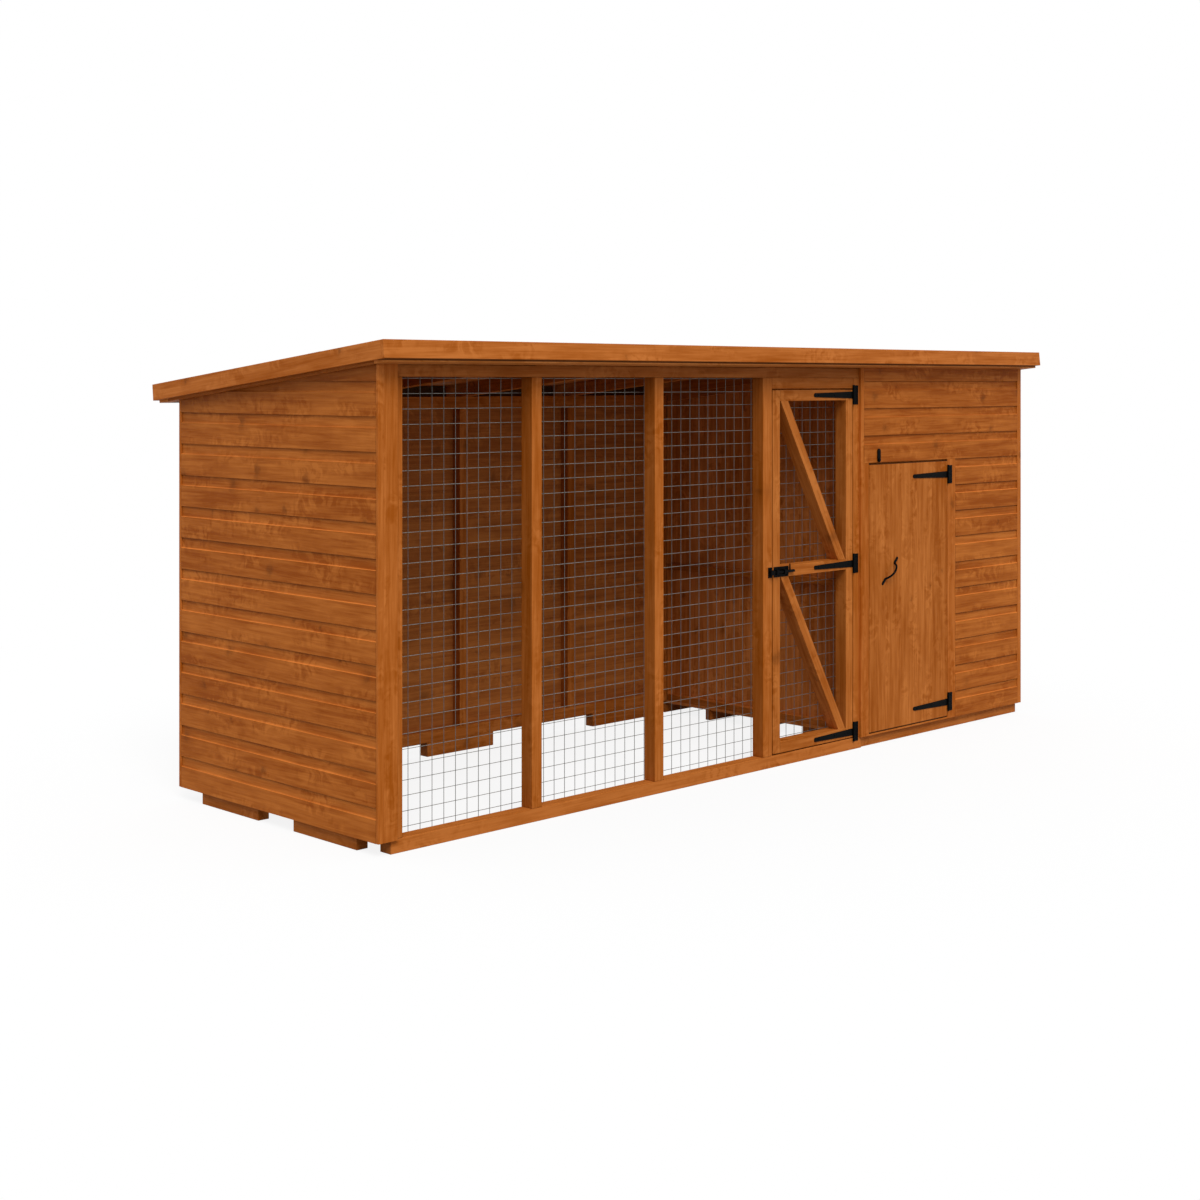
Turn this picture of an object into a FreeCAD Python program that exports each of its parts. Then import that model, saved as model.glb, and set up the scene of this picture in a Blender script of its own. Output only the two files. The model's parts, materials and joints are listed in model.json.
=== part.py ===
"""Timber kennel and mesh run under one pent roof.

Millimetres, +Z up. Pieces are placed in the wall frame: x from the left cladding face, y from the front
cladding face towards the back, z from the ground. The roof has its own axes: u down the slope from the
front, v square to the slope from the rafters' undersides. Everything is then shifted so that the origin
lies under the middle of the whole part.
"""
import FreeCAD, Part
import Sketcher
import math
import os
import re

Vector = FreeCAD.Vector
Rotation = FreeCAD.Rotation
Placement = FreeCAD.Placement

SIZES = {
    # Walls
    "run_length": 2497,
    "kennel_length": 1163,
    "wall_depth": 1168,
    "front_height": 1558,
    "roof_fall": 122.8,
    "seam_gap": 5,
    # Cladding boards
    "board_cover": 112.3,
    "board_thickness": 14,
    "scoop_height": 37,
    "scoop_depth": 5,
    # Wall frames, floor and feet
    "frame_depth": 44,
    "stud_width": 46,
    "rail_height": 44,
    "bearer_height": 44,
    "bearer_width": 27,
    "bearer_setback": 7,
    "floor_thickness": 13,
    "foot_length": 350,
    "foot_inset": 118,
    # Corner and joint trims
    "trim_thickness": 12,
    "corner_strip_width": 22,
    "corner_board_width": 56,
    "seam_strip_width": 20,
    "end_strip_width": 28,
    # Open front of the run
    "sill_height": 46,
    "post_depth": 54,
    "post_width": 46,
    "end_post_width": 48,
    "door_post_width": 53,
    "run_rail_height": 41,
    "door_head_height": 43,
    "mesh_wire": 2.5,
    "mesh_lap": 15,
    # Run door
    "run_door_width": 502,
    "run_door_gap": 5,
    "stile_width": 43,
    "door_rail_height": 43,
    "mid_rail_level": 738,
    "brace_width": 45,
    "brace_inset": 5,
    # Kennel door
    "left_jamb_width": 31.5,
    "right_jamb_width": 57.5,
    "kennel_door_width": 551,
    "kennel_door_gap": 3.5,
    "kennel_door_head_gap": 6,
    "door_board_thickness": 12,
    "threshold_height": 7,
    "door_stop_lap": 11,
    "ledge_inset": 30,
    "ledge_height": 90,
    "ledge_thickness": 20,
    # Partition between run and kennel
    "partition_rail_depth": 33,
    "partition_rail_height": 27,
    "partition_rail_level": 651,
    "partition_board": 12,
    # Roof
    "overhang_left": 32,
    "overhang_right": 48,
    "eaves_front": 73.6,
    "eaves_back": 123.6,
    "rafter_height": 54,
    "rafter_width": 44,
    "rafter_over_partition": 8.8,
    "rafter_pitch": 602.4,
    "eaves_rail_width": 60,
    "deck_thickness": 12,
    "felt_thickness": 2,
    "fascia_thickness": 16,
    "fascia_height": 59,
    "fascia_lift": 10,
    # T hinges and their screws
    "leaf_thickness": 2.5,
    "hinge_offset": 5,
    "hinge_plate_height": 78,
    "hinge_plate_reach": 32.5,
    "strap_reach": 244,
    "strap_root": 28,
    "strap_tip": 16,
    "knuckle_radius": 4.5,
    "knuckle_gap": 0.3,
    "pin_radius": 2.5,
    "pin_cap_radius": 4,
    "pin_cap_height": 2,
    "pivot_fit": 0.05,
    "kennel_hinge_inset": 62.5,
    "screw_head": 3.6,
    "screw_crown": 2.4,
    "screw_head_height": 1.8,
    "screw_shank": 2,
    "screw_clearance": 0.3,
    # Bolt of the run door
    "bolt_plate_inset": 4,
    "bolt_plate_length": 88,
    "bolt_plate_height": 40,
    "bolt_screw_rise": 14.5,
    "bolt_axis_rise": 7,
    "bolt_radius": 5.5,
    "bolt_fit": 0.08,
    "bolt_length": 122,
    "bolt_nose": 3,
    "bolt_lever_setback": 27,
    "bolt_lever_radius": 3,
    "bolt_lever_rise": 30,
    "guide_width": 12,
    "guide_inset": 2,
    "guide_spacing": 46,
    "guide_half_height": 9,
    "guide_wall": 3,
    "keep_width": 21,
    "keep_setback": 3,
    "keep_clearance": 0.7,
    # Pull handle and turn button of the kennel door
    "handle_across": 137.5,
    "handle_up": 659,
    "handle_span": 120,
    "handle_projection": 34,
    "handle_bar_radius": 5,
    "handle_tab_radius": 13,
    "button_across": 59,
    "button_length": 56,
    "button_width": 19,
    "button_thickness": 5,
    "button_spacer": 2,
    "button_clearance": 1.5,
    "button_screw_radius": 2.5,
    "button_head_radius": 6,
    "button_head_height": 3,
    # One overrun serves every cut
    "overrun": 30,
}

BAYS = ("left", "middle", "right")
MESH_ROWS = 27
BAY_MESH_COLUMNS = 11
DOOR_MESH_COLUMNS = 8
DOOR_ROWS = 10
DOOR_BOARDS = 5
FLOOR_BOARDS = 10
FLOOR_BEARERS = 5
PARTITION_BOARDS = 10
DECK_BOARDS = 12
STRAP_SCREW_SHARES = (0.14, 0.5, 0.92)
PLATE_SCREW_SHARES = (-0.36, 0, 0.36)

PLACES = {
    # Levels and faces of the walls
    "wall_length": "run_length + kennel_length",
    "cladding_bottom": "bearer_height",
    "floor_top": "bearer_height + floor_thickness",
    "stud_bottom": "floor_top + rail_height",
    "frame_inside": "board_thickness + frame_depth",
    "run_right": "run_length - seam_gap",
    "right_boards": "wall_length - board_thickness",
    "kennel_right": "wall_length - frame_inside",
    "back_boards": "wall_depth - board_thickness",
    "back_inside": "wall_depth - frame_inside",
    "strip_right": "wall_length - end_strip_width",
    # Roof, in its own axes
    "roof_slope": "roof_fall / wall_depth",
    "pitch": "atan(roof_slope)",
    "pitch_cos": "cos(pitch)",
    "pitch_sin": "sin(pitch)",
    "front_plate_bottom": "front_height - roof_slope * frame_inside - rail_height",
    "back_height": "front_height - roof_fall",
    "back_plate_bottom": "front_height - roof_slope * back_boards - rail_height",
    "roof_left": "fascia_thickness - overhang_left",
    "roof_right": "wall_length + overhang_right - fascia_thickness",
    "deck_front": "fascia_thickness - eaves_front",
    "eaves_end": "wall_depth / pitch_cos + eaves_back",
    "deck_back": "eaves_end - fascia_thickness",
    "partition_rafter": "run_length - rafter_over_partition",
    "rafter_front": "deck_front + eaves_rail_width",
    "rafter_back": "deck_back - eaves_rail_width",
    "deck_top": "rafter_height + deck_thickness",
    "felt_top": "deck_top + felt_thickness",
    "fascia_top": "fascia_lift + fascia_height",
    # Middle of the whole part on the ground
    "origin_x": "(wall_length + overhang_right - overhang_left) / 2",
    "origin_y": "((eaves_end - eaves_front) * pitch_cos + (fascia_lift + fascia_top) * pitch_sin) / 2",
    # Run front
    "post_back": "trim_thickness + post_depth",
    "mesh_back": "post_back + mesh_wire",
    "run_rail_bottom": "front_height - run_rail_height",
    "door_head_bottom": "run_rail_bottom - door_head_height",
    "hinge_post_left": "run_right - door_post_width",
    "run_door_right": "hinge_post_left - run_door_gap",
    "run_door_left": "run_door_right - run_door_width",
    "latch_post_right": "run_door_left - run_door_gap",
    "latch_post_left": "latch_post_right - door_post_width",
    "first_bay": "frame_inside + end_post_width",
    "bay_width": "(latch_post_left - first_bay - 2 * post_width) / 3",
    # Run door
    "run_door_bottom": "sill_height + run_door_gap",
    "run_door_top": "door_head_bottom - run_door_gap",
    "stile_right": "run_door_left + stile_width",
    "stile_left": "run_door_right - stile_width",
    "low_rail_top": "run_door_bottom + door_rail_height",
    "mid_rail_top": "mid_rail_level + door_rail_height",
    "mid_rail_middle": "mid_rail_level + door_rail_height / 2",
    "top_rail_bottom": "run_door_top - door_rail_height",
    "run_pin": "run_door_right + run_door_gap / 2",
    # Kennel door
    "opening_left": "run_length + left_jamb_width",
    "kennel_door_left": "opening_left + kennel_door_gap",
    "kennel_door_right": "kennel_door_left + kennel_door_width",
    "opening_right": "kennel_door_right + kennel_door_gap",
    "side_boards": "opening_right + right_jamb_width",
    "threshold_top": "cladding_bottom + threshold_height",
    "opening_top": f"cladding_bottom + {DOOR_ROWS} * board_cover",
    "kennel_door_bottom": "threshold_top + kennel_door_gap",
    "kennel_door_top": "opening_top - kennel_door_head_gap",
    "low_hinge": "kennel_door_bottom + kennel_hinge_inset",
    "high_hinge": "opening_top - kennel_door_gap - kennel_hinge_inset",
    "door_stud_right": "kennel_door_left + door_stop_lap",
    "door_stud_left": "kennel_door_right - door_stop_lap",
    "lintel_bottom": "opening_top - kennel_door_gap - door_stop_lap",
    "ledge_back": "door_board_thickness + ledge_thickness",
    "kennel_pin": "kennel_door_right + kennel_door_gap / 2",
    # Partition
    "partition_rail_back": "run_length + partition_rail_depth",
    "partition_back": "partition_rail_back + partition_board",
    # Hinges
    "knuckle_clear": "knuckle_radius + knuckle_gap",
    "strap_half": "strap_root / 2",
    "plate_half": "hinge_plate_height / 2",
    # Bolt
    "bolt_plate_left": "run_door_left + bolt_plate_inset",
    "bolt_plate_right": "bolt_plate_left + bolt_plate_length",
    "bolt_face": "trim_thickness - leaf_thickness",
    "bolt_axis": "bolt_face - bolt_axis_rise",
    "guide_front": "bolt_axis - bolt_radius - guide_wall",
    "bolt_tip": "run_door_left - bolt_nose",
    "bolt_lever": "bolt_tip + bolt_length - bolt_lever_setback",
    "keep_right": "latch_post_right - keep_setback",
    "keep_left": "keep_right - keep_width",
    # Pull handle and turn button
    "bow_half_span": "handle_span / 2 - handle_tab_radius + handle_bar_radius",
    "bow_rise": "handle_projection - handle_bar_radius",
    "bow_radius": "(bow_half_span ^ 2 + bow_rise ^ 2) / (2 * bow_rise)",
    "handle_screw": "handle_span / 2 + handle_bar_radius",
    "button_x": "kennel_door_left + button_across",
    "button_end": "button_width / 2",
    "button_pivot": "opening_top + button_end + button_clearance",
    "button_far_end": "button_pivot + button_length - button_width",
    "button_front": "-button_spacer - button_thickness",
}

PART_ORIGIN = {"x": "origin_x", "y": "origin_y", "z": "0"}
LOCAL_ORIGIN = {"x": "0", "y": "0", "z": "0"}
QUARTER_TURN = 90
EIGHTH_TURN = 45
TURNS = {
    "x": Rotation(Vector(0, 1, 0), QUARTER_TURN),
    "y": Rotation(Vector(-1, 0, 0), QUARTER_TURN),
    "z": Rotation(),
}
WORD = re.compile(r"[a-z][a-z_]+")

doc = FreeCAD.newDocument("kennel_and_run")
nodes = {}


def qualified(text, sheets):
    """An expression in which every named value is led by the name of its sheet."""
    def lead(match):
        word = match.group()
        for name, values in sheets.items():
            if word in values:
                return f"{name}.{word}"
        return word
    return WORD.sub(lead, text)


def make_sheet(name, contents):
    """A spreadsheet with one named row for each value."""
    sheet = doc.addObject("Spreadsheet::Sheet", name)
    for row, (alias, content) in enumerate(contents.items(), start=1):
        sheet.set(f"A{row}", alias)
        sheet.set(f"B{row}", content)
        sheet.setAlias(f"B{row}", alias)
    return sheet


sizes = make_sheet("Sizes", {alias: str(size) for alias, size in SIZES.items()})
formulas = {alias: "=" + qualified(text, {"Sizes": SIZES}) for alias, text in PLACES.items()}
places = make_sheet("Places", formulas)
doc.recompute()


def value(name):
    """The present number behind a named size or place."""
    return (sizes if name in SIZES else places).get(name)


def tie(piece, **properties):
    """Bind properties of a piece to expressions in named values."""
    for name, text in properties.items():
        piece.setExpression(name, qualified(text, {"Sizes": SIZES, "Places": PLACES}))


def seat(piece, x, y, z, origin=PART_ORIGIN):
    """Bind the place of a piece, given in the wall frame or in a frame of its own."""
    for axis, text in zip("xyz", (x, y, z)):
        tie(piece, **{f"Placement.Base.{axis}": f"({text}) - {origin[axis]}"})


def box(name, x, y, z, origin=PART_ORIGIN):
    """A straight stick or board between a low and a high bound on each axis."""
    piece = doc.addObject("Part::Box", name)
    for side, (low, high) in zip(("Length", "Width", "Height"), (x, y, z)):
        tie(piece, **{side: f"({high}) - ({low})"})
    seat(piece, x[0], y[0], z[0], origin)
    return piece


def roof_box(name, x, u, v):
    """A straight piece laid on the slope of the roof, with its bounds along x, u and v."""
    piece = doc.addObject("Part::Box", name)
    piece.Placement = Placement(Vector(), TURNS["y"])
    for side, (low, high) in zip(("Length", "Width", "Height"), (x, u, v)):
        tie(piece, **{side: f"({high}) - ({low})"})
    tie(piece, **{"Placement.Rotation.Angle": "pitch"})
    along = f"({u[0]}) * pitch_cos + ({v[0]}) * pitch_sin"
    rise = f"front_height - ({u[0]}) * pitch_sin + ({v[0]}) * pitch_cos"
    seat(piece, x[0], along, rise)
    return piece


def rod(name, radius, x, y, z, origin=PART_ORIGIN):
    """A cylinder along the one axis that is given as a low and a high bound."""
    piece = doc.addObject("Part::Cylinder", name)
    place = {"x": x, "y": y, "z": z}
    axis = next(key for key, bound in place.items() if isinstance(bound, tuple))
    low, high = place[axis]
    place[axis] = low
    piece.Placement = Placement(Vector(), TURNS[axis])
    tie(piece, Radius=radius, Height=f"({high}) - ({low})")
    seat(piece, origin=origin, **place)
    return piece


def outline(name, points, x, y, z, thickness):
    """A flat piece cut to straight edges, its outline drawn in front view from a corner at x, z."""
    body = doc.addObject("PartDesign::Body", name)
    sketch = body.newObject("Sketcher::SketchObject", f"{name}_outline")
    front = next(plane for plane in body.Origin.OriginFeatures if plane.Role == "XZ_Plane")
    sketch.AttachmentSupport = [(front, "")]
    sketch.MapMode = "FlatFace"
    turn = 2 * math.pi / len(points)
    drafts = [Vector(math.cos(turn * step), math.sin(turn * step), 0) for step in range(len(points))]
    for start, end in zip(drafts, drafts[1:] + drafts[:1]):
        sketch.addGeometry(Part.LineSegment(start, end), False)
    for edge, (across, up) in enumerate(points):
        before = (edge - 1) % len(points)
        sketch.addConstraint(Sketcher.Constraint("Coincident", before, 2, edge, 1))
        for kind, text in (("DistanceX", across), ("DistanceY", up)):
            index = sketch.addConstraint(Sketcher.Constraint(kind, -1, 1, edge, 1, value("overrun")))
            tie(sketch, **{f"Constraints[{index}]": f"({text}) + overrun"})
    pad = body.newObject("PartDesign::Pad", f"{name}_pad")
    pad.Profile = sketch
    pad.Reversed = True
    tie(pad, Length=thickness)
    seat(body, f"({x}) - overrun", y, f"({z}) - overrun")
    return body


def group(name, pieces):
    """Separate solids kept together."""
    piece = doc.addObject("Part::Compound", name)
    piece.Links = list(pieces)
    return piece


def cut(name, base, *tools):
    """A piece with tools taken away from it."""
    piece = doc.addObject("Part::Cut", name)
    piece.Base = base
    piece.Tool = tools[0] if len(tools) == 1 else group(f"{name}_tools", tools)
    return piece


def common(name, base, tool):
    """What two shapes share."""
    piece = doc.addObject("Part::Common", name)
    piece.Base = base
    piece.Tool = tool
    return piece


def fuse(name, *pieces):
    """One solid made of several shapes."""
    piece = doc.addObject("Part::MultiFuse", name)
    piece.Shapes = list(pieces)
    piece.Refine = True
    return piece


def node(name, *pieces):
    """Name a finished sub-part; several pieces stay separate solids in it."""
    item = pieces[0] if len(pieces) == 1 else group(f"{name}_set", pieces)
    item.Label = name
    nodes[name] = item


def evenly(count, low, high, width):
    """Bounds of equal pieces spread from one edge to the other."""
    step = f"(({high}) - ({low}) - ({width})) / {count - 1}"
    lows = [f"({low}) + {index} * {step}" for index in range(count)]
    return [(start, f"{start} + ({width})") for start in lows]


def side_by_side(count, low, high):
    """Bounds of equal boards that fill a width."""
    board = f"(({high}) - ({low})) / {count}"
    return [(f"({low}) + {index} * {board}", f"({low}) + {index + 1} * {board}") for index in range(count)]


WHOLE_LENGTH = ("-overhang_left - overrun", "wall_length + overhang_right + overrun")
WHOLE_SLOPE = ("-eaves_front - overrun", "eaves_end + overrun")
above_roof = roof_box("above_roof", WHOLE_LENGTH, WHOLE_SLOPE, ("0", "front_height"))
above_plate = roof_box("above_plate", WHOLE_LENGTH, WHOLE_SLOPE, ("-rail_height", "front_height"))
plate_slab = roof_box("plate_slab", WHOLE_LENGTH, WHOLE_SLOPE, ("-rail_height", "0"))


def under_roof(name, x, y, bottom):
    """An upright or level piece whose top is cut to the roof's underside."""
    return cut(name, box(f"{name}_blank", x, y, (bottom, "front_height")), above_roof)


# Walls


def rows_below(height):
    """How many rows of cladding reach a height."""
    return math.ceil((height - value("cladding_bottom")) / value("board_cover"))


def shiplap(name, axis, along, outer, inward, rows):
    """Rows of boards hollowed along the top, with a round ledge; inward is + or -, from the outer face."""
    inner = f"{outer} {inward} board_thickness"
    floor = f"{outer} {inward} scoop_depth"
    depth = (outer, inner) if inward == "+" else (inner, outer)
    hollow = (outer, floor) if inward == "+" else (floor, outer)
    boards = []
    for row in rows:
        level = (f"cladding_bottom + {row} * board_cover", f"cladding_bottom + {row + 1} * board_cover")
        ledge = f"{level[1]} - scoop_height + scoop_depth"
        if axis == "x":
            blank = box(f"{name}_blank", along, depth, level)
            scoop = box(f"{name}_scoop", along, hollow, (ledge, level[1]))
            cove = rod(f"{name}_cove", "scoop_depth", along, outer, ledge)
        else:
            blank = box(f"{name}_blank", depth, along, level)
            scoop = box(f"{name}_scoop", hollow, along, (ledge, level[1]))
            cove = rod(f"{name}_cove", "scoop_depth", outer, along, ledge)
        board = cut(f"{name}_board", blank, scoop, cove)
        if row >= rows_below(value("back_height")) - 1:
            board = cut(f"{name}_trimmed", board, above_roof)
        boards.append(board)
    node(name, *boards)


def side_wall_frame(name, x, front):
    """Bottom rail, sloping top rail and three studs of a wall that runs under the slope."""
    along = (front, "back_boards")
    bottom = box(f"{name}_bottom", x, along, ("floor_top", "stud_bottom"))
    top_blank = box(f"{name}_top_blank", x, along, ("floor_top", "front_height"))
    top = common(f"{name}_top", top_blank, plate_slab)
    blanks = [box(f"{name}_stud_blank", x, place, ("stud_bottom", "front_height"))
              for place in evenly(3, front, "back_boards", "stud_width")]
    studs = [cut(f"{name}_stud", blank, above_plate) for blank in blanks]
    node(name, bottom, top, *studs)


def back_wall_frame(name, left, right, studs):
    """Bottom rail, top plate and studs of one length of the back wall."""
    depth = ("back_inside", "back_boards")
    bottom = box(f"{name}_bottom", (left, right), depth, ("floor_top", "stud_bottom"))
    top = under_roof(f"{name}_top", (left, right), depth, "back_plate_bottom")
    uprights = [box(f"{name}_stud", place, depth, ("stud_bottom", "back_plate_bottom")) for place in studs]
    node(name, bottom, top, *uprights)


def bay_left(bay):
    """Left edge of one mesh bay of the run."""
    return f"first_bay + {bay} * (bay_width + post_width)"


def run_walls():
    """Clad left wall and back wall of the run, with the feet under their frames."""
    rows = range(rows_below(value("front_height")))
    back_rows = range(rows_below(value("back_height")))
    shiplap("left_wall_boards", "y", ("trim_thickness", "back_boards"), "0", "+", rows)
    side_wall_frame("left_wall_frame", ("board_thickness", "frame_inside"), "trim_thickness")
    shiplap("run_back_boards", "x", ("end_strip_width", "run_length"), "wall_depth", "-", back_rows)
    stations = ["frame_inside", f"{bay_left(1)} - post_width", f"{bay_left(2)} - post_width",
                "latch_post_left", "run_right - stud_width"]
    studs = [(left, f"{left} + stud_width") for left in stations]
    back_wall_frame("run_back_frame", "frame_inside", "run_right", studs)
    ground = ("0", "floor_top")
    left_feet = evenly(2, "trim_thickness + foot_inset", "back_boards - foot_inset", "foot_length")
    back_feet = evenly(3, "frame_inside + foot_inset", "run_right - foot_inset", "foot_length")
    node("wall_feet",
         *[box("left_foot", ("board_thickness", "frame_inside"), place, ground) for place in left_feet],
         *[box("back_foot", place, ("back_inside", "back_boards"), ground) for place in back_feet])


def kennel_walls():
    """Back, right and front walls of the kennel."""
    rows = rows_below(value("front_height"))
    back_rows = range(rows_below(value("back_height")))
    shiplap("kennel_back_boards", "x", ("run_length", "strip_right"), "wall_depth", "-", back_rows)
    back_wall_frame("kennel_back_frame", "run_length", "kennel_right",
                    evenly(3, "run_length", "kennel_right", "stud_width"))
    shiplap("right_wall_boards", "y", ("board_thickness", "back_boards"), "wall_length", "-", range(rows))
    side_wall_frame("right_wall_frame", ("kennel_right", "right_boards"), "board_thickness")
    shiplap("kennel_front_boards_side", "x", ("side_boards", "strip_right"), "0", "+", range(DOOR_ROWS))
    shiplap("kennel_front_boards_top", "x", ("run_length", "strip_right"), "0", "+", range(DOOR_ROWS, rows))


def kennel_front_frame():
    """Studs, lintel, plate and bottom rail behind the kennel's front, lapping the door as its stops."""
    name = "kennel_front_frame"
    depth = ("board_thickness", "frame_inside")
    hinge_stud = ("door_stud_left", "door_stud_left + stud_width")
    end_stud = ("kennel_right - stud_width", "kennel_right")
    studs = [box(f"{name}_stud", place, depth, ("floor_top", "front_plate_bottom"))
             for place in (("run_length", "door_stud_right"), hinge_stud, end_stud)]
    lintel = box(f"{name}_lintel", ("door_stud_right", "door_stud_left"), depth,
                 ("lintel_bottom", "lintel_bottom + rail_height"))
    bottom = box(f"{name}_bottom", (hinge_stud[1], end_stud[0]), depth, ("floor_top", "stud_bottom"))
    plate = under_roof(f"{name}_plate", ("run_length", "kennel_right"), depth, "front_plate_bottom")
    node(name, plate, lintel, bottom, *studs)


def door_surround():
    """Plain jambs beside the kennel door and the threshold under it."""
    depth = ("0", "board_thickness")
    level = ("cladding_bottom", "opening_top")
    node("door_jambs",
         box("left_jamb", ("run_length", "opening_left"), depth, level),
         box("right_jamb", ("opening_right", "side_boards"), depth, level))
    node("door_threshold", box("threshold", ("opening_left", "opening_right"), depth,
                               ("cladding_bottom", "threshold_top")))


def floor_and_partition():
    """Kennel floor on its bearers and the boarded wall between kennel and run."""
    floor = [box("floor_board", place, ("board_thickness", "back_boards"), ("bearer_height", "floor_top"))
             for place in side_by_side(FLOOR_BOARDS, "run_length", "right_boards")]
    node("kennel_floor", *floor)
    first_bearer = "board_thickness + bearer_setback"
    bearers = [box("bearer", ("run_length", "right_boards"), place, ("0", "bearer_height"))
               for place in evenly(FLOOR_BEARERS, first_bearer, "back_boards", "bearer_width")]
    node("floor_bearers", *bearers)
    rail = ("run_length", "partition_rail_back")
    between = ("frame_inside", "back_inside")
    levels = ("floor_top", "partition_rail_level")
    low_rails = [box("partition_rail", rail, between, (level, f"{level} + partition_rail_height"))
                 for level in levels]
    slab = roof_box("partition_slab", WHOLE_LENGTH, WHOLE_SLOPE, ("-partition_rail_height", "0"))
    top_blank = box("partition_top_blank", rail, between, ("floor_top", "front_height"))
    node("partition_frame", *low_rails, common("partition_top", top_blank, slab))
    boards = [under_roof("partition_board", ("partition_rail_back", "partition_back"), place, "floor_top")
              for place in side_by_side(PARTITION_BOARDS, *between)]
    node("partition_boards", *boards)


def trims():
    """Cover strips on the corners and on the joint between run and kennel."""
    thin = ("0", "trim_thickness")
    thick = ("0", "board_thickness")
    corner_board = ("corner_strip_width", "corner_strip_width + corner_board_width")
    node("front_corner_board", under_roof("corner_board", corner_board, thin, "cladding_bottom"))
    node("front_cover_strips",
         under_roof("left_strip", ("0", "corner_strip_width"), thin, "cladding_bottom"),
         under_roof("seam_strip", ("run_length - seam_strip_width", "run_length"), thin, "cladding_bottom"),
         under_roof("right_strip", ("strip_right", "wall_length"), thick, "cladding_bottom"))
    back = ("back_boards", "wall_depth")
    node("back_cover_strips",
         under_roof("back_left_strip", ("0", "end_strip_width"), back, "cladding_bottom"),
         under_roof("back_right_strip", ("strip_right", "wall_length"), back, "cladding_bottom"))


# Open front of the run


def mesh_panel(name, x, z, columns):
    """Welded mesh as one holed face, on the inner side of a frame."""
    blank = box(f"{name}_blank", x, ("post_back", "mesh_back"), z)
    doc.recompute()
    room = blank.Shape.BoundBox
    wire = value("mesh_wire")
    across = (room.XLength - wire) / columns
    up = (room.ZLength - wire) / MESH_ROWS

    def frame(left, low, right, high):
        corners = [(left, low), (right, low), (right, high), (left, high), (left, low)]
        return Part.makePolygon([Vector(x, room.YMin, z) for x, z in corners])

    wires = [frame(room.XMin, room.ZMin, room.XMax, room.ZMax)]
    for column in range(columns):
        left = room.XMin + wire + column * across
        for row in range(MESH_ROWS):
            low = room.ZMin + wire + row * up
            wires.append(frame(left, low, left + across - wire, low + up - wire))
    face = Part.makeFace(wires, "Part::FaceMakerBullseye")
    panel = doc.addObject("Part::Feature", f"{name}_panel")
    panel.Shape = face.extrude(Vector(0, room.YLength, 0))
    node(name, panel)


def run_front():
    """Sill, posts, rails and mesh bays of the open front."""
    depth = ("trim_thickness", "post_back")
    width = ("frame_inside", "run_right")
    node("front_sill", box("sill", width, depth, ("0", "sill_height")))
    node("run_top_rail", under_roof("top_rail", width, depth, "run_rail_bottom"))
    node("door_head", box("head", ("latch_post_right", "hinge_post_left"), depth,
                          ("door_head_bottom", "run_rail_bottom")))
    posts = {
        "end_post": ("frame_inside", "first_bay"),
        "bay_post_left": (f"{bay_left(1)} - post_width", bay_left(1)),
        "bay_post_right": (f"{bay_left(2)} - post_width", bay_left(2)),
        "latch_post": ("latch_post_left", "latch_post_right"),
        "hinge_post": ("hinge_post_left", "run_right"),
    }
    for name, place in posts.items():
        node(name, box(f"{name}_stick", place, depth, ("sill_height", "run_rail_bottom")))
    level = ("sill_height - mesh_lap", "run_rail_bottom + mesh_lap")
    for bay, side in enumerate(BAYS):
        place = (f"{bay_left(bay)} - mesh_lap", f"{bay_left(bay)} + bay_width + mesh_lap")
        mesh_panel(f"mesh_bay_{side}", place, level, BAY_MESH_COLUMNS)


def brace(name, bottom, top):
    """A diagonal from the upper latch corner to the lower hinge corner of one half of the run door."""
    opening = "run_door_width - 2 * stile_width"
    rise = f"{top} - ({bottom})"
    points = [
        (f"{opening} - brace_inset - brace_width", "0"),
        (f"{opening} - brace_inset", "0"),
        ("brace_inset + brace_width", rise),
        ("brace_inset", rise),
    ]
    return outline(name, points, "stile_right", "trim_thickness", bottom, "post_depth")


def run_door():
    """Framed and braced mesh door of the run."""
    depth = ("trim_thickness", "post_back")
    between = ("stile_right", "stile_left")
    height = ("run_door_bottom", "run_door_top")
    node("run_door_stiles",
         box("latch_stile", ("run_door_left", "stile_right"), depth, height),
         box("hinge_stile", ("stile_left", "run_door_right"), depth, height))
    node("run_door_rails",
         box("low_rail", between, depth, ("run_door_bottom", "low_rail_top")),
         box("mid_rail", between, depth, ("mid_rail_level", "mid_rail_top")),
         box("top_rail_door", between, depth, ("top_rail_bottom", "run_door_top")))
    node("run_door_braces",
         brace("upper_brace", "mid_rail_top", "top_rail_bottom"),
         brace("lower_brace", "low_rail_top", "mid_rail_level"))
    mesh_panel("run_door_mesh", ("stile_right - mesh_lap", "stile_left + mesh_lap"),
               ("low_rail_top - mesh_lap", "top_rail_bottom + mesh_lap"), DOOR_MESH_COLUMNS)


def kennel_door():
    """Boarded door of the kennel with three ledges across its back, the middle one behind the handle."""
    level = ("kennel_door_bottom", "kennel_door_top")
    boards = [box("door_board", place, ("0", "door_board_thickness"), level)
              for place in side_by_side(DOOR_BOARDS, "kennel_door_left", "kennel_door_right")]
    node("kennel_door_boards", *boards)
    across = ("kennel_door_left + ledge_inset", "kennel_door_right - ledge_inset")
    middles = ("low_hinge", "kennel_door_bottom + handle_up", "high_hinge")
    ledges = [box("ledge", across, ("door_board_thickness", "ledge_back"),
                  (f"{middle} - ledge_height / 2", f"{middle} + ledge_height / 2")) for middle in middles]
    node("kennel_door_ledges", *ledges)


# Ironwork


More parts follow.
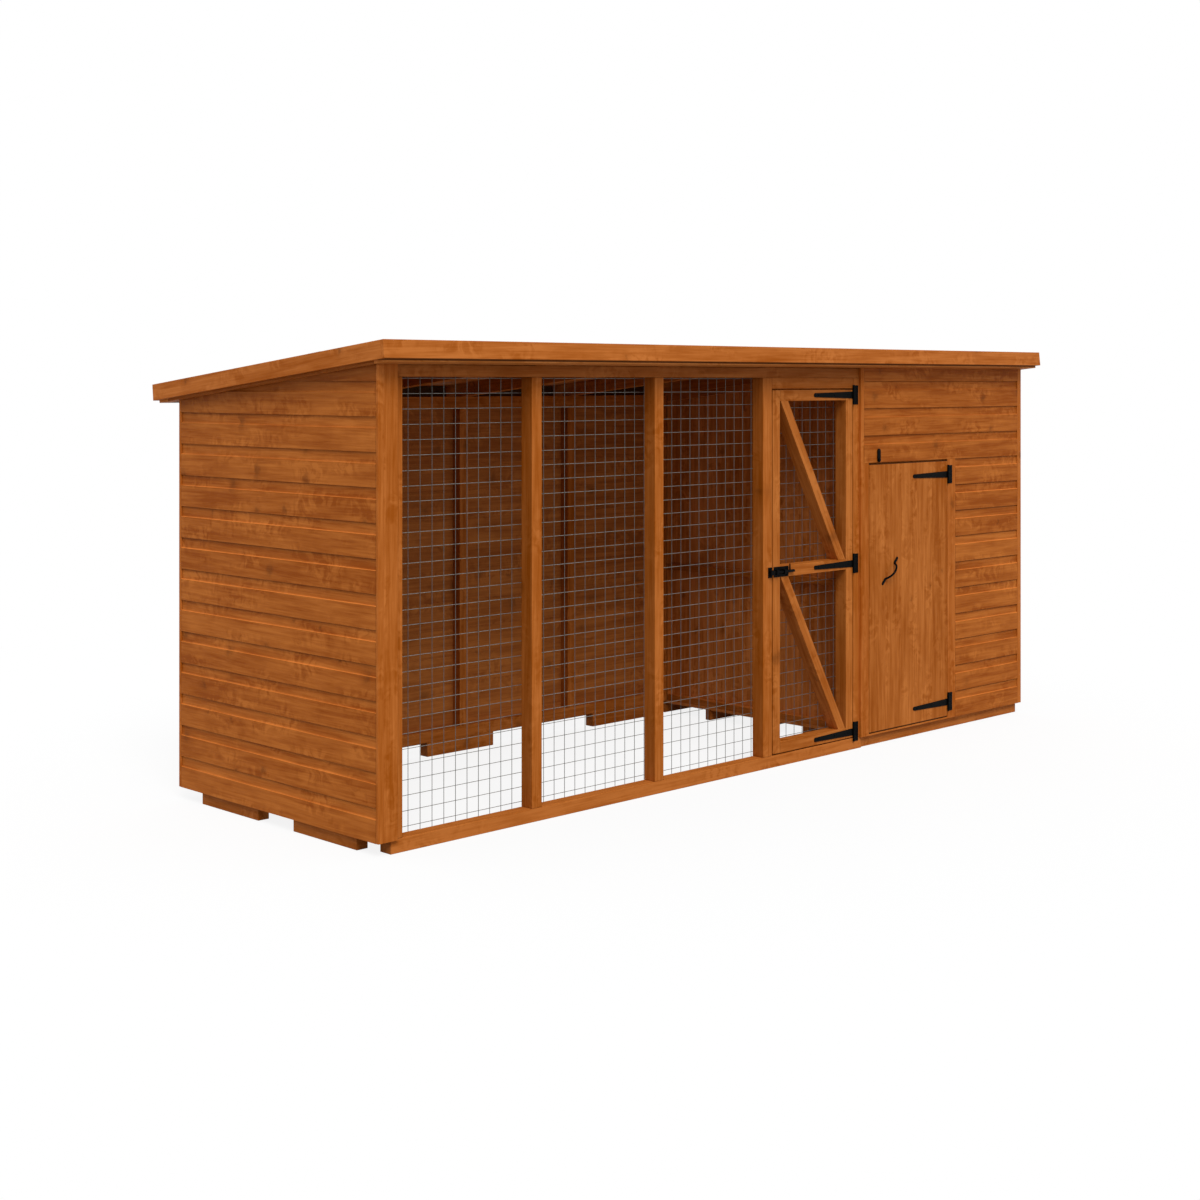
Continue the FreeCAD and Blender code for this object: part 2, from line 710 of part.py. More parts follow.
def screw(name, x, face, z, origin=PART_ORIGIN):
    """A pan head on the front of a leaf, with its shank through the leaf down to the timber face."""
    under_head = f"{face} - leaf_thickness"
    head = doc.addObject("Part::Cone", f"{name}_head")
    head.Placement = Placement(Vector(), TURNS["y"])
    tie(head, Radius1="screw_crown", Radius2="screw_head", Height="screw_head_height")
    seat(head, x, f"{under_head} - screw_head_height", z, origin)
    return fuse(name, head, rod(f"{name}_shank", "screw_shank", x, (under_head, face), z, origin))


def screw_hole(name, x, face, z, origin=PART_ORIGIN):
    """The hole that a screw's shank passes through."""
    depth = (f"{face} - leaf_thickness - overrun", f"{face} + overrun")
    return rod(f"{name}_hole", "screw_shank + screw_clearance", x, depth, z, origin)


def hinge_plate(name, pin, face, z, screws):
    """Fixed leaf with a knuckle above and one below the strap's knuckle."""
    depth = (f"{face} - leaf_thickness", face)
    axis = f"{face} - hinge_offset"
    leaf = box(f"{name}_leaf", (f"{pin} + knuckle_clear", f"{pin} + hinge_plate_reach"), depth,
               (f"{z} - plate_half", f"{z} + plate_half"))
    shapes = [leaf]
    for level in ((f"{z} + strap_half + knuckle_gap", f"{z} + plate_half"),
                  (f"{z} - plate_half", f"{z} - strap_half - knuckle_gap")):
        shapes.append(box(f"{name}_tongue", (pin, f"{pin} + knuckle_clear"), depth, level))
        shapes.append(rod(f"{name}_knuckle", "knuckle_radius", pin, axis, level))
    bore = rod(f"{name}_bore", "pin_radius + pivot_fit", pin, axis,
               (f"{z} - plate_half - overrun", f"{z} + plate_half + overrun"))
    holes = [screw_hole(name, x, face, level) for x, level in screws]
    return cut(name, fuse(f"{name}_body", *shapes), bore, *holes)


def hinge_strap(name, pin, face, z, screws):
    """Long tapered leaf with a round tip and the middle knuckle."""
    depth = (f"{face} - leaf_thickness", face)
    axis = f"{face} - hinge_offset"
    level = (f"{z} - strap_half", f"{z} + strap_half")
    tip = f"{pin} - strap_reach"
    length = "strap_reach - knuckle_clear"
    points = [("0", "strap_half - strap_tip / 2"), (length, "0"),
              (length, "strap_root"), ("0", "strap_half + strap_tip / 2")]
    taper = outline(f"{name}_taper", points, tip, depth[0], level[0], "leaf_thickness")
    shapes = [
        taper,
        rod(f"{name}_tip", "strap_tip / 2", tip, depth, z),
        box(f"{name}_tongue", (f"{pin} - knuckle_clear", pin), depth, level),
        rod(f"{name}_knuckle", "knuckle_radius", pin, axis, level),
    ]
    bore = rod(f"{name}_bore", "pin_radius + pivot_fit", pin, axis,
               (f"{z} - plate_half - overrun", f"{z} + plate_half + overrun"))
    holes = [screw_hole(name, x, face, level) for x, level in screws]
    return cut(name, fuse(f"{name}_body", *shapes), bore, *holes)


def hinge_pin(name, pin, face, z):
    """Loose pin with a cap that sits on the upper knuckle."""
    axis = f"{face} - hinge_offset"
    top = f"{z} + plate_half"
    stem = rod(f"{name}_stem", "pin_radius", pin, axis, (f"{z} - plate_half", top))
    cap = rod(f"{name}_cap", "pin_cap_radius", pin, axis, (top, f"{top} + pin_cap_height"))
    return fuse(name, stem, cap)


def t_hinges(door, pin, face, levels):
    """T hinges of one door: plates, straps, pins, and the screws of plates and straps."""
    parts = {"plates": [], "straps": [], "pins": [], "plate_screws": [], "strap_screws": []}
    for z in levels:
        plate_x = f"{pin} + (knuckle_clear + hinge_plate_reach) / 2"
        on_plate = [(plate_x, f"{z} + {share} * hinge_plate_height") for share in PLATE_SCREW_SHARES]
        on_strap = [(f"{pin} - {share} * strap_reach", z) for share in STRAP_SCREW_SHARES]
        parts["plates"].append(hinge_plate(f"{door}_plate", pin, face, z, on_plate))
        parts["straps"].append(hinge_strap(f"{door}_strap", pin, face, z, on_strap))
        parts["pins"].append(hinge_pin(f"{door}_pin", pin, face, z))
        parts["plate_screws"] += [screw(f"{door}_plate_screw", x, face, level) for x, level in on_plate]
        parts["strap_screws"] += [screw(f"{door}_strap_screw", x, face, level) for x, level in on_strap]
    return parts


def bolt_plate(screws):
    """Base plate of the bolt with the two guides that its rod slides in."""
    middle = "mid_rail_middle"
    plate = box("bolt_base", ("bolt_plate_left", "bolt_plate_right"), ("bolt_face", "trim_thickness"),
                (f"{middle} - bolt_plate_height / 2", f"{middle} + bolt_plate_height / 2"))
    first = "bolt_plate_left + guide_inset"
    guides = [box("bolt_guide", (left, f"{left} + guide_width"), ("guide_front", "bolt_face"),
                  (f"{middle} - guide_half_height", f"{middle} + guide_half_height"))
              for left in (first, f"{first} + guide_spacing")]
    through = ("bolt_plate_left - overrun", "bolt_plate_right + overrun")
    bore = rod("bolt_bore", "bolt_radius + bolt_fit", through, "bolt_axis", middle)
    holes = [screw_hole("bolt_plate", x, "trim_thickness", z) for x, z in screws]
    return cut("bolt_mount", fuse("bolt_mount_body", plate, *guides), bore, *holes)


def bolt_keep(screws):
    """Keeper on the latch post that takes the end of the rod."""
    middle = "mid_rail_middle"
    across = ("keep_left", "keep_right")
    plate = box("keep_base", across, ("bolt_face", "trim_thickness"),
                (f"{middle} - bolt_plate_height / 2", f"{middle} + bolt_plate_height / 2"))
    staple = box("keep_staple", across, ("guide_front", "bolt_face"),
                 (f"{middle} - guide_half_height", f"{middle} + guide_half_height"))
    bore = rod("keep_bore", "bolt_radius + keep_clearance", ("keep_left - overrun", "keep_right + overrun"),
               "bolt_axis", middle)
    holes = [screw_hole("keep", x, "trim_thickness", z) for x, z in screws]
    return cut("keep", fuse("keep_body", plate, staple), bore, *holes)


def bolt_rod():
    """Round rod of the bolt with its upright lever, drawn back clear of the keeper."""
    middle = "mid_rail_middle"
    stem = rod("bolt_stem", "bolt_radius", ("bolt_tip", "bolt_tip + bolt_length"), "bolt_axis", middle)
    lever = rod("bolt_lever", "bolt_lever_radius", "bolt_lever", "bolt_axis",
                (middle, f"{middle} + bolt_lever_rise"))
    return fuse("bolt", stem, lever)


def pull_handle():
    """Bowed pull on two round tabs, made level about its own middle and set at a slant on the door."""
    bow = doc.addObject("Part::Torus", "handle_ring")
    tie(bow, Radius1="bow_radius", Radius2="handle_bar_radius")
    seat(bow, "0", "bow_radius - bow_rise", "0", LOCAL_ORIGIN)
    reach = ("-bow_radius - overrun", "bow_radius + overrun")
    before_door = ("-handle_projection - overrun", "0")
    front = box("handle_front", reach, before_door, ("-overrun", "overrun"), LOCAL_ORIGIN)
    shapes = [common("handle_bow", bow, front)]
    leaf = ("-leaf_thickness", "0")
    holes = []
    screws = []
    for side in ("-", "+"):
        tab = f"0 {side} handle_span / 2"
        hole = f"0 {side} handle_screw"
        shapes.append(rod("handle_tab", "handle_tab_radius", tab, leaf, "0", LOCAL_ORIGIN))
        holes.append(screw_hole("handle", hole, "0", "0", LOCAL_ORIGIN))
        screws.append(screw("handle_screw", hole, "0", "0", LOCAL_ORIGIN))
    handle = cut("handle", fuse("handle_body", *shapes), *holes)
    for piece in (handle, *screws):
        piece.Placement = Placement(Vector(), Rotation(Vector(0, -1, 0), EIGHTH_TURN))
        seat(piece, "kennel_door_left + handle_across", "0", "kennel_door_bottom + handle_up")
    return handle, screws


def turn_button():
    """Button above the kennel door, turned up out of the door's way, and the screw it turns on."""
    depth = ("button_front", "-button_spacer")
    ends = [rod("button_round", "button_end", "button_x", depth, level)
            for level in ("button_pivot", "button_far_end")]
    bar = box("button_bar", ("button_x - button_end", "button_x + button_end"), depth,
              ("button_pivot", "button_far_end"))
    bore = rod("button_bore", "button_screw_radius + pivot_fit", "button_x",
               ("button_front - overrun", "overrun"), "button_pivot")
    node("turn_button", cut("button", fuse("button_body", bar, *ends), bore))
    head_back = "button_front - knuckle_gap"
    head = rod("button_head", "button_head_radius", "button_x",
               (f"{head_back} - button_head_height", head_back), "button_pivot")
    shank = rod("button_shank", "button_screw_radius", "button_x", (head_back, "0"), "button_pivot")
    spacer = rod("button_washer", "button_head_radius", "button_x", ("knuckle_gap - button_spacer", "0"),
                 "button_pivot")
    node("turn_screw", fuse("button_pivot_screw", head, shank, spacer))


def ironwork():
    """Hinges, bolt, handle and turn button, with every screw in the node of the body it rides on."""
    half_rail = "door_rail_height / 2"
    rails = (f"run_door_bottom + {half_rail}", "mid_rail_middle", f"run_door_top - {half_rail}")
    run = t_hinges("run", "run_pin", "trim_thickness", rails)
    kennel = t_hinges("kennel", "kennel_pin", "0", ("low_hinge", "high_hinge"))
    node("hinge_plates", *run["plates"], *kennel["plates"])
    node("hinge_pins", *run["pins"], *kennel["pins"])
    node("run_hinge_straps", *run["straps"])
    node("kennel_hinge_straps", *kennel["straps"])

    rises = ("mid_rail_middle - bolt_screw_rise", "mid_rail_middle + bolt_screw_rise")
    between_guides = "bolt_plate_left + guide_inset + (guide_spacing + guide_width) / 2"
    past_guides = "bolt_plate_right - guide_width"
    on_plate = [(x, z) for x in (between_guides, past_guides) for z in rises]
    on_keep = [("(keep_left + keep_right) / 2", z) for z in rises]
    node("bolt_plate", bolt_plate(on_plate))
    node("bolt_keep", bolt_keep(on_keep))
    node("bolt_rod", bolt_rod())

    handle, handle_screws = pull_handle()
    node("pull_handle", handle)
    turn_button()

    bolt_screws = [screw("bolt_screw", x, "trim_thickness", z) for x, z in on_plate]
    keep_screws = [screw("keep_screw", x, "trim_thickness", z) for x, z in on_keep]
    node("frame_screws", *run["plate_screws"], *kennel["plate_screws"], *keep_screws)
    node("run_door_screws", *run["strap_screws"], *bolt_screws)
    node("kennel_door_screws", *kennel["strap_screws"], *handle_screws)


# Roof


def roof():
    """Rafters between eaves rails, boarded deck, felt, and the fascia boards round the edge."""
    across = ("roof_left", "roof_right")
    slope = ("rafter_front", "rafter_back")
    thickness = ("0", "rafter_height")
    over = "partition_rafter"
    run_bays = round((value(over) - value("roof_left")) / value("rafter_pitch"))
    kennel_bays = round((value("roof_right") - value(over)) / value("rafter_pitch"))
    lefts = ["roof_left", "roof_right - rafter_width", over]
    lefts += [f"{over} - {step} * rafter_pitch" for step in range(1, run_bays)]
    lefts += [f"{over} + {step} * rafter_pitch" for step in range(1, kennel_bays)]
    rafters = [roof_box("rafter", (left, f"{left} + rafter_width"), slope, thickness) for left in lefts]
    node("rafters", *rafters)
    node("eaves_rails",
         roof_box("front_eaves_rail", across, ("deck_front", "rafter_front"), thickness),
         roof_box("back_eaves_rail", across, ("rafter_back", "deck_back"), thickness))
    deck = [roof_box("deck_board", across, place, ("rafter_height", "deck_top"))
            for place in side_by_side(DECK_BOARDS, "deck_front", "deck_back")]
    node("roof_deck", *deck)
    node("roof_felt", roof_box("felt", across, ("deck_front", "deck_back"), ("deck_top", "felt_top")))
    edge = ("fascia_lift", "fascia_top")
    left = ("-overhang_left", "roof_left")
    right = ("roof_right", "wall_length + overhang_right")
    node("front_fascia", roof_box("fascia", (left[0], right[1]), ("-eaves_front", "deck_front"), edge))
    node("back_fascia", roof_box("fascia_back", across, ("deck_back", "eaves_end"), edge))
    node("left_bargeboard", roof_box("bargeboard", left, ("deck_front", "eaves_end"), edge))
    node("right_bargeboard", roof_box("bargeboard", right, ("deck_front", "eaves_end"), edge))


def write_parts():
    """Check every object and write one file for each sub-part."""
    doc.recompute()
    failed = [item.Name for item in doc.Objects if {"Invalid", "Error"} & set(item.State)]
    failed += [name for name, item in nodes.items() if item.Shape.isNull() or not item.Shape.isValid()]
    if failed:
        raise RuntimeError(f"failed: {failed}")
    os.makedirs("parts", exist_ok=True)
    for name, item in nodes.items():
        item.Shape.exportStep(f"parts/{name}.step")
    print(f"{len(nodes)} sub-parts, {sum(len(item.Shape.Solids) for item in nodes.values())} solids")


run_front()
run_door()
kennel_door()
run_walls()
kennel_walls()
kennel_front_frame()
door_surround()
floor_and_partition()
trims()
ironwork()
roof()
write_parts()
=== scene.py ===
# %% [markdown]
# # A timber kennel with a mesh run
#
# The part is a pent-roof kennel and a mesh-fronted run under one roof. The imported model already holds
# every stick, board and hinge in its place. This file dresses it: timber with eased edges and grain that
# follows each board, round welded wires, satin black ironwork and mineral felt. All lengths are in metres.

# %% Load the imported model
import json
import math

import bmesh
import bpy
import numpy as np
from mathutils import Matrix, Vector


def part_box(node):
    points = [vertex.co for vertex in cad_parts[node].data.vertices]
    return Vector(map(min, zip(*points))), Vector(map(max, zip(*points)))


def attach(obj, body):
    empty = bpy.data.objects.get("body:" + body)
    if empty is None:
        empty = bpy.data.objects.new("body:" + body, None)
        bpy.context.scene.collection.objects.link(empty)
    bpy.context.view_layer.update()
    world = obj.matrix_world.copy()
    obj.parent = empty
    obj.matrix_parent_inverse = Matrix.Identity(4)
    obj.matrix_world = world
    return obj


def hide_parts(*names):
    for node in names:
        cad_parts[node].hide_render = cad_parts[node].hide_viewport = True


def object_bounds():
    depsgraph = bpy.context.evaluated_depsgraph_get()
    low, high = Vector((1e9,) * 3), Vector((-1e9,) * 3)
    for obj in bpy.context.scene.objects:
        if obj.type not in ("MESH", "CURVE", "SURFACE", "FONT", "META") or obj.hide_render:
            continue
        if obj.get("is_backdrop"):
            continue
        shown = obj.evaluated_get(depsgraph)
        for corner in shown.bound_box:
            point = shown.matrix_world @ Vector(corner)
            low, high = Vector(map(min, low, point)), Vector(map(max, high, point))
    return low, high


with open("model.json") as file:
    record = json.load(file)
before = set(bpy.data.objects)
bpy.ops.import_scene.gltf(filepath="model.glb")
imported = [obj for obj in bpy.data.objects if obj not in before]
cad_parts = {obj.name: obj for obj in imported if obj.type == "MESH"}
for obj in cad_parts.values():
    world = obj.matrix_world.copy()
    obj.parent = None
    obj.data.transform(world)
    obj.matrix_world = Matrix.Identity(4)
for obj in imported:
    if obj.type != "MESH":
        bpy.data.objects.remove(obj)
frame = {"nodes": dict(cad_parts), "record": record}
cad_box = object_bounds()
bodies = frame["record"]["behaviour"]["bodies"]
body_of = {node: body for body, nodes in bodies.items() for node in nodes}
slot_of = {entry["node"]: entry["material_slot"] for entry in frame["record"]["subparts"]}
print("box", np.round(cad_box[1] - cad_box[0], 3))

# %% [markdown]
# ## Camera
#
# The photograph was taken with a level camera at about head height: upright posts stay parallel, and the
# horizon lies above the middle of the picture. A tilted camera would make the posts lean, so the camera
# stays level and the lens is shifted down instead, as on a view camera.

# %% Camera
IMAGE_SIDE = 1200
FOCAL_PIXELS = 1830.8
HORIZON_ROW = 381.8
SENSOR = 36.0
CAMERA_PLACE = (-5.3766, -5.2103, 1.5010)
CAMERA_HEADING = math.radians(-44.49)

camera_data = bpy.data.cameras.new("view_camera")
camera_data.sensor_width = SENSOR
camera_data.lens = FOCAL_PIXELS / IMAGE_SIDE * SENSOR
camera_data.shift_y = (HORIZON_ROW - IMAGE_SIDE / 2) / IMAGE_SIDE
camera = bpy.data.objects.new("view_camera", camera_data)
camera.location = CAMERA_PLACE
camera.rotation_euler = (math.radians(90), 0, CAMERA_HEADING)
bpy.context.scene.collection.objects.link(camera)
bpy.context.scene.camera = camera
bpy.context.scene.view_settings.view_transform = "Standard"
print("lens", round(camera_data.lens, 2), "mm, shift", round(camera_data.shift_y, 4))

# %% [markdown]
# ## Building materials from nodes
#
# Every finish below is a small network of texture nodes. It could be wired by hand in the shader editor,
# but written out it can be read, and finishes can share parts. One helper starts a material, one adds a
# node and fills or links its sockets in one line, and the rest name nodes that come up often.

# %% Start a material and add a node


def new_finish(name):
    """A node material with one Principled shader: returns the material, its node tree and that shader."""
    material = bpy.data.materials.new(name)
    material.use_nodes = True
    tree = material.node_tree
    return material, tree, tree.nodes["Principled BSDF"]


def put(tree, kind, settings=None, **sockets):
    """Add a node and set its sockets to values, or link them where an output socket is given.

    Socket names have _ for spaces, and i3 means input number 3.
    """
    node = tree.nodes.new(kind)
    for key, value in (settings or {}).items():
        setattr(node, key, value)
    for key, value in sockets.items():
        numbered = key[0] == "i" and key[1:].isdigit()
        socket = node.inputs[int(key[1:])] if numbered else node.inputs[key.replace("_", " ")]
        if isinstance(value, bpy.types.NodeSocket):
            tree.links.new(value, socket)
        else:
            socket.default_value = value
    return node


# %% Nodes for numbers, vectors and colours


def sums(tree, how, first, second=0.0, third=0.0):
    """One arithmetic step on up to three values or sockets."""
    return put(tree, "ShaderNodeMath", {"operation": how}, i0=first, i1=second, i2=third).outputs[0]


def vectors(tree, how, first, second, third=(0, 0, 0)):
    """One arithmetic step on up to three vectors or sockets."""
    return put(tree, "ShaderNodeVectorMath", {"operation": how}, i0=first, i1=second, i2=third).outputs[0]


def remap(tree, value, low, high, to_low, to_high):
    """Value from one range to another with soft ends."""
    settings = {"interpolation_type": "SMOOTHSTEP"}
    ends = {"i1": low, "i2": high, "i3": to_low, "i4": to_high}
    return put(tree, "ShaderNodeMapRange", settings, i0=value, **ends).outputs[0]


def blend_colour(tree, factor, first, second):
    """Mix two colours; factor, first and second are values or sockets."""
    return put(tree, "ShaderNodeMix", {"data_type": "RGBA"}, i0=factor, i6=first, i7=second).outputs[2]


# %% Nodes for places and relief


def stored(tree, name, output="Fac"):
    """A number or vector that the mesh keeps under this name."""
    return put(tree, "ShaderNodeAttribute", {"attribute_name": name}).outputs[output]


def place_on(tree):
    """The place on the piece, in metres."""
    return put(tree, "ShaderNodeTexCoord").outputs["Object"]


def speckle(tree, scale, detail):
    """Even noise over the piece, with about scale features per metre."""
    return put(tree, "ShaderNodeTexNoise", Vector=place_on(tree), Scale=scale, Detail=detail).outputs["Fac"]


def add_relief(tree, shader, strength, distance, height):
    """Tilt the shading as if the surface rose by distance where height is 1."""
    bump = put(tree, "ShaderNodeBump", Strength=strength, Distance=distance, Height=height)
    tree.links.new(bump.outputs[0], shader.inputs["Normal"])


# %% [markdown]
# ## Floor and light
#
# The part stands on a pale floor in front of white. A big soft lamp high in front gives the shade under
# the eaves, and a dim sky fills the rest. More light would also whiten the background, but it would bleach
# the timber. So what the camera sees of floor and sky is white, while the light they throw on the timber
# stays modest, and the colours come out as they are written.

# %% Floor
FLOOR_HALF = 40.0
WHITE = (1, 1, 1, 1)
FLOOR_SHOWN = (0.9, 0.9, 0.9, 1)
FLOOR_BOUNCE = (0.36, 0.35, 0.34, 1)
GLARE_FROM, GLARE_TO = 1.8, 4.5
LEAST_GLARE = 0.86


def seen_directly(tree):
    """1 for rays that look at the background straight or by way of gloss or glass, 0 for other light."""
    path = put(tree, "ShaderNodeLightPath")
    either = sums(tree, "MAXIMUM", path.outputs["Is Camera Ray"], path.outputs["Is Glossy Ray"])
    return sums(tree, "MAXIMUM", either, path.outputs["Is Transmission Ray"])


def mixed(tree, factor, first, second):
    """A mix of two shaders."""
    return put(tree, "ShaderNodeMixShader", i0=factor, i1=first.outputs[0], i2=second.outputs[0])


floor_corners = FLOOR_HALF * np.array([[-1, -1, 0], [1, -1, 0], [1, 1, 0], [-1, 1, 0]])
floor_mesh = bpy.data.meshes.new("floor")
floor_mesh.from_pydata(floor_corners, [], [(0, 1, 2, 3)])
floor = bpy.data.objects.new("floor", floor_mesh)
bpy.context.scene.collection.objects.link(floor)
floor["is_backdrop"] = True

floor_finish, tree, _ = new_finish("pale_floor")
tree.nodes.clear()
from_middle = put(tree, "ShaderNodeVectorMath", {"operation": "LENGTH"}, i0=place_on(tree))
glare = remap(tree, from_middle.outputs["Value"], GLARE_FROM, GLARE_TO, LEAST_GLARE, 1.0)
lit = put(tree, "ShaderNodeBsdfDiffuse", Color=FLOOR_SHOWN)
glow = put(tree, "ShaderNodeEmission", Color=WHITE, Strength=1.0)
bounce = put(tree, "ShaderNodeBsdfDiffuse", Color=FLOOR_BOUNCE)
surface = mixed(tree, seen_directly(tree), bounce, mixed(tree, glare, lit, glow))
put(tree, "ShaderNodeOutputMaterial", Surface=surface.outputs[0])
floor_mesh.materials.append(floor_finish)
print("floor", 2 * FLOOR_HALF, "m wide")

# %% Sky and lamp
SKY_COLOUR = (0.92, 0.96, 1.0, 1)
SKY_STRENGTH = 0.74
LAMP_STRENGTH = 2.0
LAMP_SPREAD = math.radians(30)
LAMP_COLOUR = (1.0, 0.97, 0.93)
LAMP_TURN = (math.radians(42), 0, math.radians(-33))

sky = bpy.data.worlds.new("studio")
bpy.context.scene.world = sky
sky.use_nodes = True
tree = sky.node_tree
tree.nodes.clear()
fill = put(tree, "ShaderNodeBackground", Color=SKY_COLOUR, Strength=SKY_STRENGTH)
backdrop = put(tree, "ShaderNodeBackground", Color=WHITE, Strength=1.0)
put(tree, "ShaderNodeOutputWorld", Surface=mixed(tree, seen_directly(tree), fill, backdrop).outputs[0])

lamp_data = bpy.data.lights.new("soft_sun", "SUN")
lamp_data.energy = LAMP_STRENGTH
lamp_data.angle = LAMP_SPREAD
lamp_data.color = LAMP_COLOUR
lamp = bpy.data.objects.new("soft_sun", lamp_data)
lamp.rotation_euler = LAMP_TURN
bpy.context.scene.collection.objects.link(lamp)
print("sky at", SKY_STRENGTH, "and one soft lamp at", LAMP_STRENGTH)

# %% [markdown]
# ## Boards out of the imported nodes
#
# A node such as a wall of cladding is one mesh of loose triangles that holds many boards. To give each
# board its own grain, the triangles are sorted back into boards. Merging corners and looking for islands
# would join boards that touch. Instead every edge gets a random signed number, plus one way round and
# minus the other. Added up triangle by triangle, the numbers cancel exactly when a board's skin has
# closed, and there the next board begins.

# %% Sort triangles into boards
SNAPS_PER_METRE = 1e5
BIGGEST_NUMBER = 1 << 40


def read_all(items, name, width, kind=np.float32):
    """One property of all vertices, triangles or faces of a mesh, in rows of width numbers."""
    values = np.empty(len(items) * width, kind)
    items.foreach_get(name, values)
    return values.reshape(-1, width)


def boards_in(node):
    """Corners, triangles and the board number of each corner, from a node's loose triangles.

    The running sum of signed random edge numbers is zero at each triangle that closes a skin. Corners are
    then merged within a board, never between boards that touch.
    """
    mesh = frame["nodes"][node].data
    mesh.calc_loop_triangles()
    corners = read_all(mesh.loop_triangles, "vertices", 3, np.int32)
    points = read_all(mesh.vertices, "co", 3)[corners.ravel()]
    snapped = np.round(points * SNAPS_PER_METRE).astype(np.int64)
    spots = np.unique(snapped, axis=0, return_inverse=True)[1].reshape(-1, 3)
    ahead = np.roll(spots, -1, axis=1)
    pairs = np.stack([np.minimum(spots, ahead), np.maximum(spots, ahead)], axis=-1).reshape(-1, 2)
    edges, edge = np.unique(pairs, axis=0, return_inverse=True)
    numbers = np.random.default_rng(1).integers(1, BIGGEST_NUMBER, len(edges))[edge.reshape(spots.shape)]
    running = np.cumsum((np.where(spots < ahead, 1, -1) * numbers).sum(axis=1))
    board = np.concatenate([[0], np.cumsum(running[:-1] == 0)])
    keys = np.column_stack([np.repeat(board, 3), spots.ravel()])
    first, index = np.unique(keys, axis=0, return_index=True, return_inverse=True)[1:]
    return points[first], index.reshape(-1, 3), keys[first, 0]


wall_points, _, wall_board = boards_in("left_wall_boards")
print("left wall:", wall_board.max() + 1, "boards,", len(wall_points), "corners")

# %% [markdown]
# ## Grain coordinates
#
# A plank is sawn out of a log, so its pattern is a slice through nested rings. Each board gets coordinates
# of its own: along the grain, across the face and through the thickness, shifted by a random step so that
# no two boards are cut from the same place. The log's middle lies a few centimetres outside the board and
# leans a little, which draws the long arches that flat-sawn boards show.

# %% Grain of each board
TONE = {"front_sill": -0.4, "kennel_front_boards_top": 0.95}
LEAN = 0.02
LOG_LENGTH = 40
LOG_ASIDE = 0.05
LOG_AWAY = (0.03, 0.08)


def grain_of(points, board, node):
    """Grain coordinates, tone and place along the board.

    Corners are taken in the axes of their board, longest first, plus a random log position. The place along
    the board is the distance from its middle, kept with its half length.
    """
    chance = np.random.default_rng(list(node.encode()))
    grain = np.empty_like(points)
    along = np.zeros_like(points)
    tone = np.empty(len(points), np.float32)
    for number in range(board.max() + 1):
        chosen = board == number
        offset = points[chosen] - points[chosen].mean(axis=0)
        axes = np.linalg.eigh(offset.T @ offset)[1][:, ::-1]
        axes *= np.sign(axes[np.abs(axes).argmax(axis=0), range(3)])
        local = offset @ axes
        far, near = local[:, 0].max(), local[:, 0].min()
        along[chosen, 0] = local[:, 0] - (far + near) / 2
        along[chosen, 1] = (far - near) / 2
        local[:, 1:] += local[:, :1] * chance.uniform(-LEAN, LEAN, 2)
        local[:, 0] += chance.uniform(0, LOG_LENGTH)
        local[:, 1] += chance.uniform(-LOG_ASIDE, LOG_ASIDE)
        local[:, 2] += chance.uniform(*LOG_AWAY)
        grain[chosen] = local
        tone[chosen] = TONE.get(node, chance.uniform(0, 1))
    return grain, tone, along


wall_tone = grain_of(wall_points, wall_board, "left_wall_boards")[1]
print("left wall: tones", np.round(np.unique(wall_tone), 2))

# %% [markdown]
# ## Eased edges
#
# Planed timber and stamped iron never have razor edges: the plane, the press and the finish round them by
# a fraction of a millimetre, and that small round catches a line of light. Each solid keeps its exact place
# and size, its flat triangles are joined into clean faces, and a Bevel modifier eases its edges. Rounding
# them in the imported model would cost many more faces.

# %% Clean copies with eased edges
CREASE = 35
FLAT_WITHIN = 0.6
BEVEL_STEPS = 2


def store(mesh, name, values, kind="FLOAT", domain="POINT"):
    """Keep values on a mesh under a name, for a finish to read."""
    key = "vector" if kind == "FLOAT_VECTOR" else "value"
    mesh.attributes.new(name, kind, domain).data.foreach_set(key, values.ravel())


def settle(piece, *nodes):
    """The piece stands for these nodes, which it hides, and moves with their body."""
    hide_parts(*nodes)
    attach(piece, body_of[nodes[0]])


def as_piece(name, mesh, finish, crease=CREASE):
    """Put a mesh in the scene, smooth but for edges sharper than crease degrees."""
    mesh.polygons.foreach_set("use_smooth", np.ones(len(mesh.polygons), bool))
    mesh.set_sharp_from_angle(angle=math.radians(crease))
    mesh.materials.append(finish)
    piece = bpy.data.objects.new(name, mesh)
    bpy.context.scene.collection.objects.link(piece)
    return piece


def eased_copy(node, finish, ease):
    """A copy of a node with clean faces and rounded edges; corners keep the number of their solid."""
    points, faces, board = boards_in(node)
    mesh = bpy.data.meshes.new(f"{node}_eased")
    mesh.from_pydata(points, [], faces)
    store(mesh, "board", board.astype(np.int32), "INT")
    work = bmesh.new()
    work.from_mesh(mesh)
    flat = math.radians(FLAT_WITHIN)
    bmesh.ops.dissolve_limit(work, angle_limit=flat, verts=work.verts, edges=work.edges)
    work.to_mesh(mesh)
    work.free()
    piece = as_piece(f"{node}_eased", mesh, finish)
    bevel = piece.modifiers.new("eased_edges", "BEVEL")
    bevel.width = ease
    bevel.segments = BEVEL_STEPS
    bevel.limit_method = "ANGLE"
    bevel.angle_limit = math.radians(CREASE)
    bevel.harden_normals = True
    settle(piece, node)
    return piece


# %% [markdown]
# ## What the timber keeps for its finish
#
# A stain can only follow a board if the mesh says where the board runs. So each timber copy keeps its
# grain, its tone, the place along the board, which faces look left, and on cladding how far out each corner
# lies. The finish reads these by name, however the part moves.

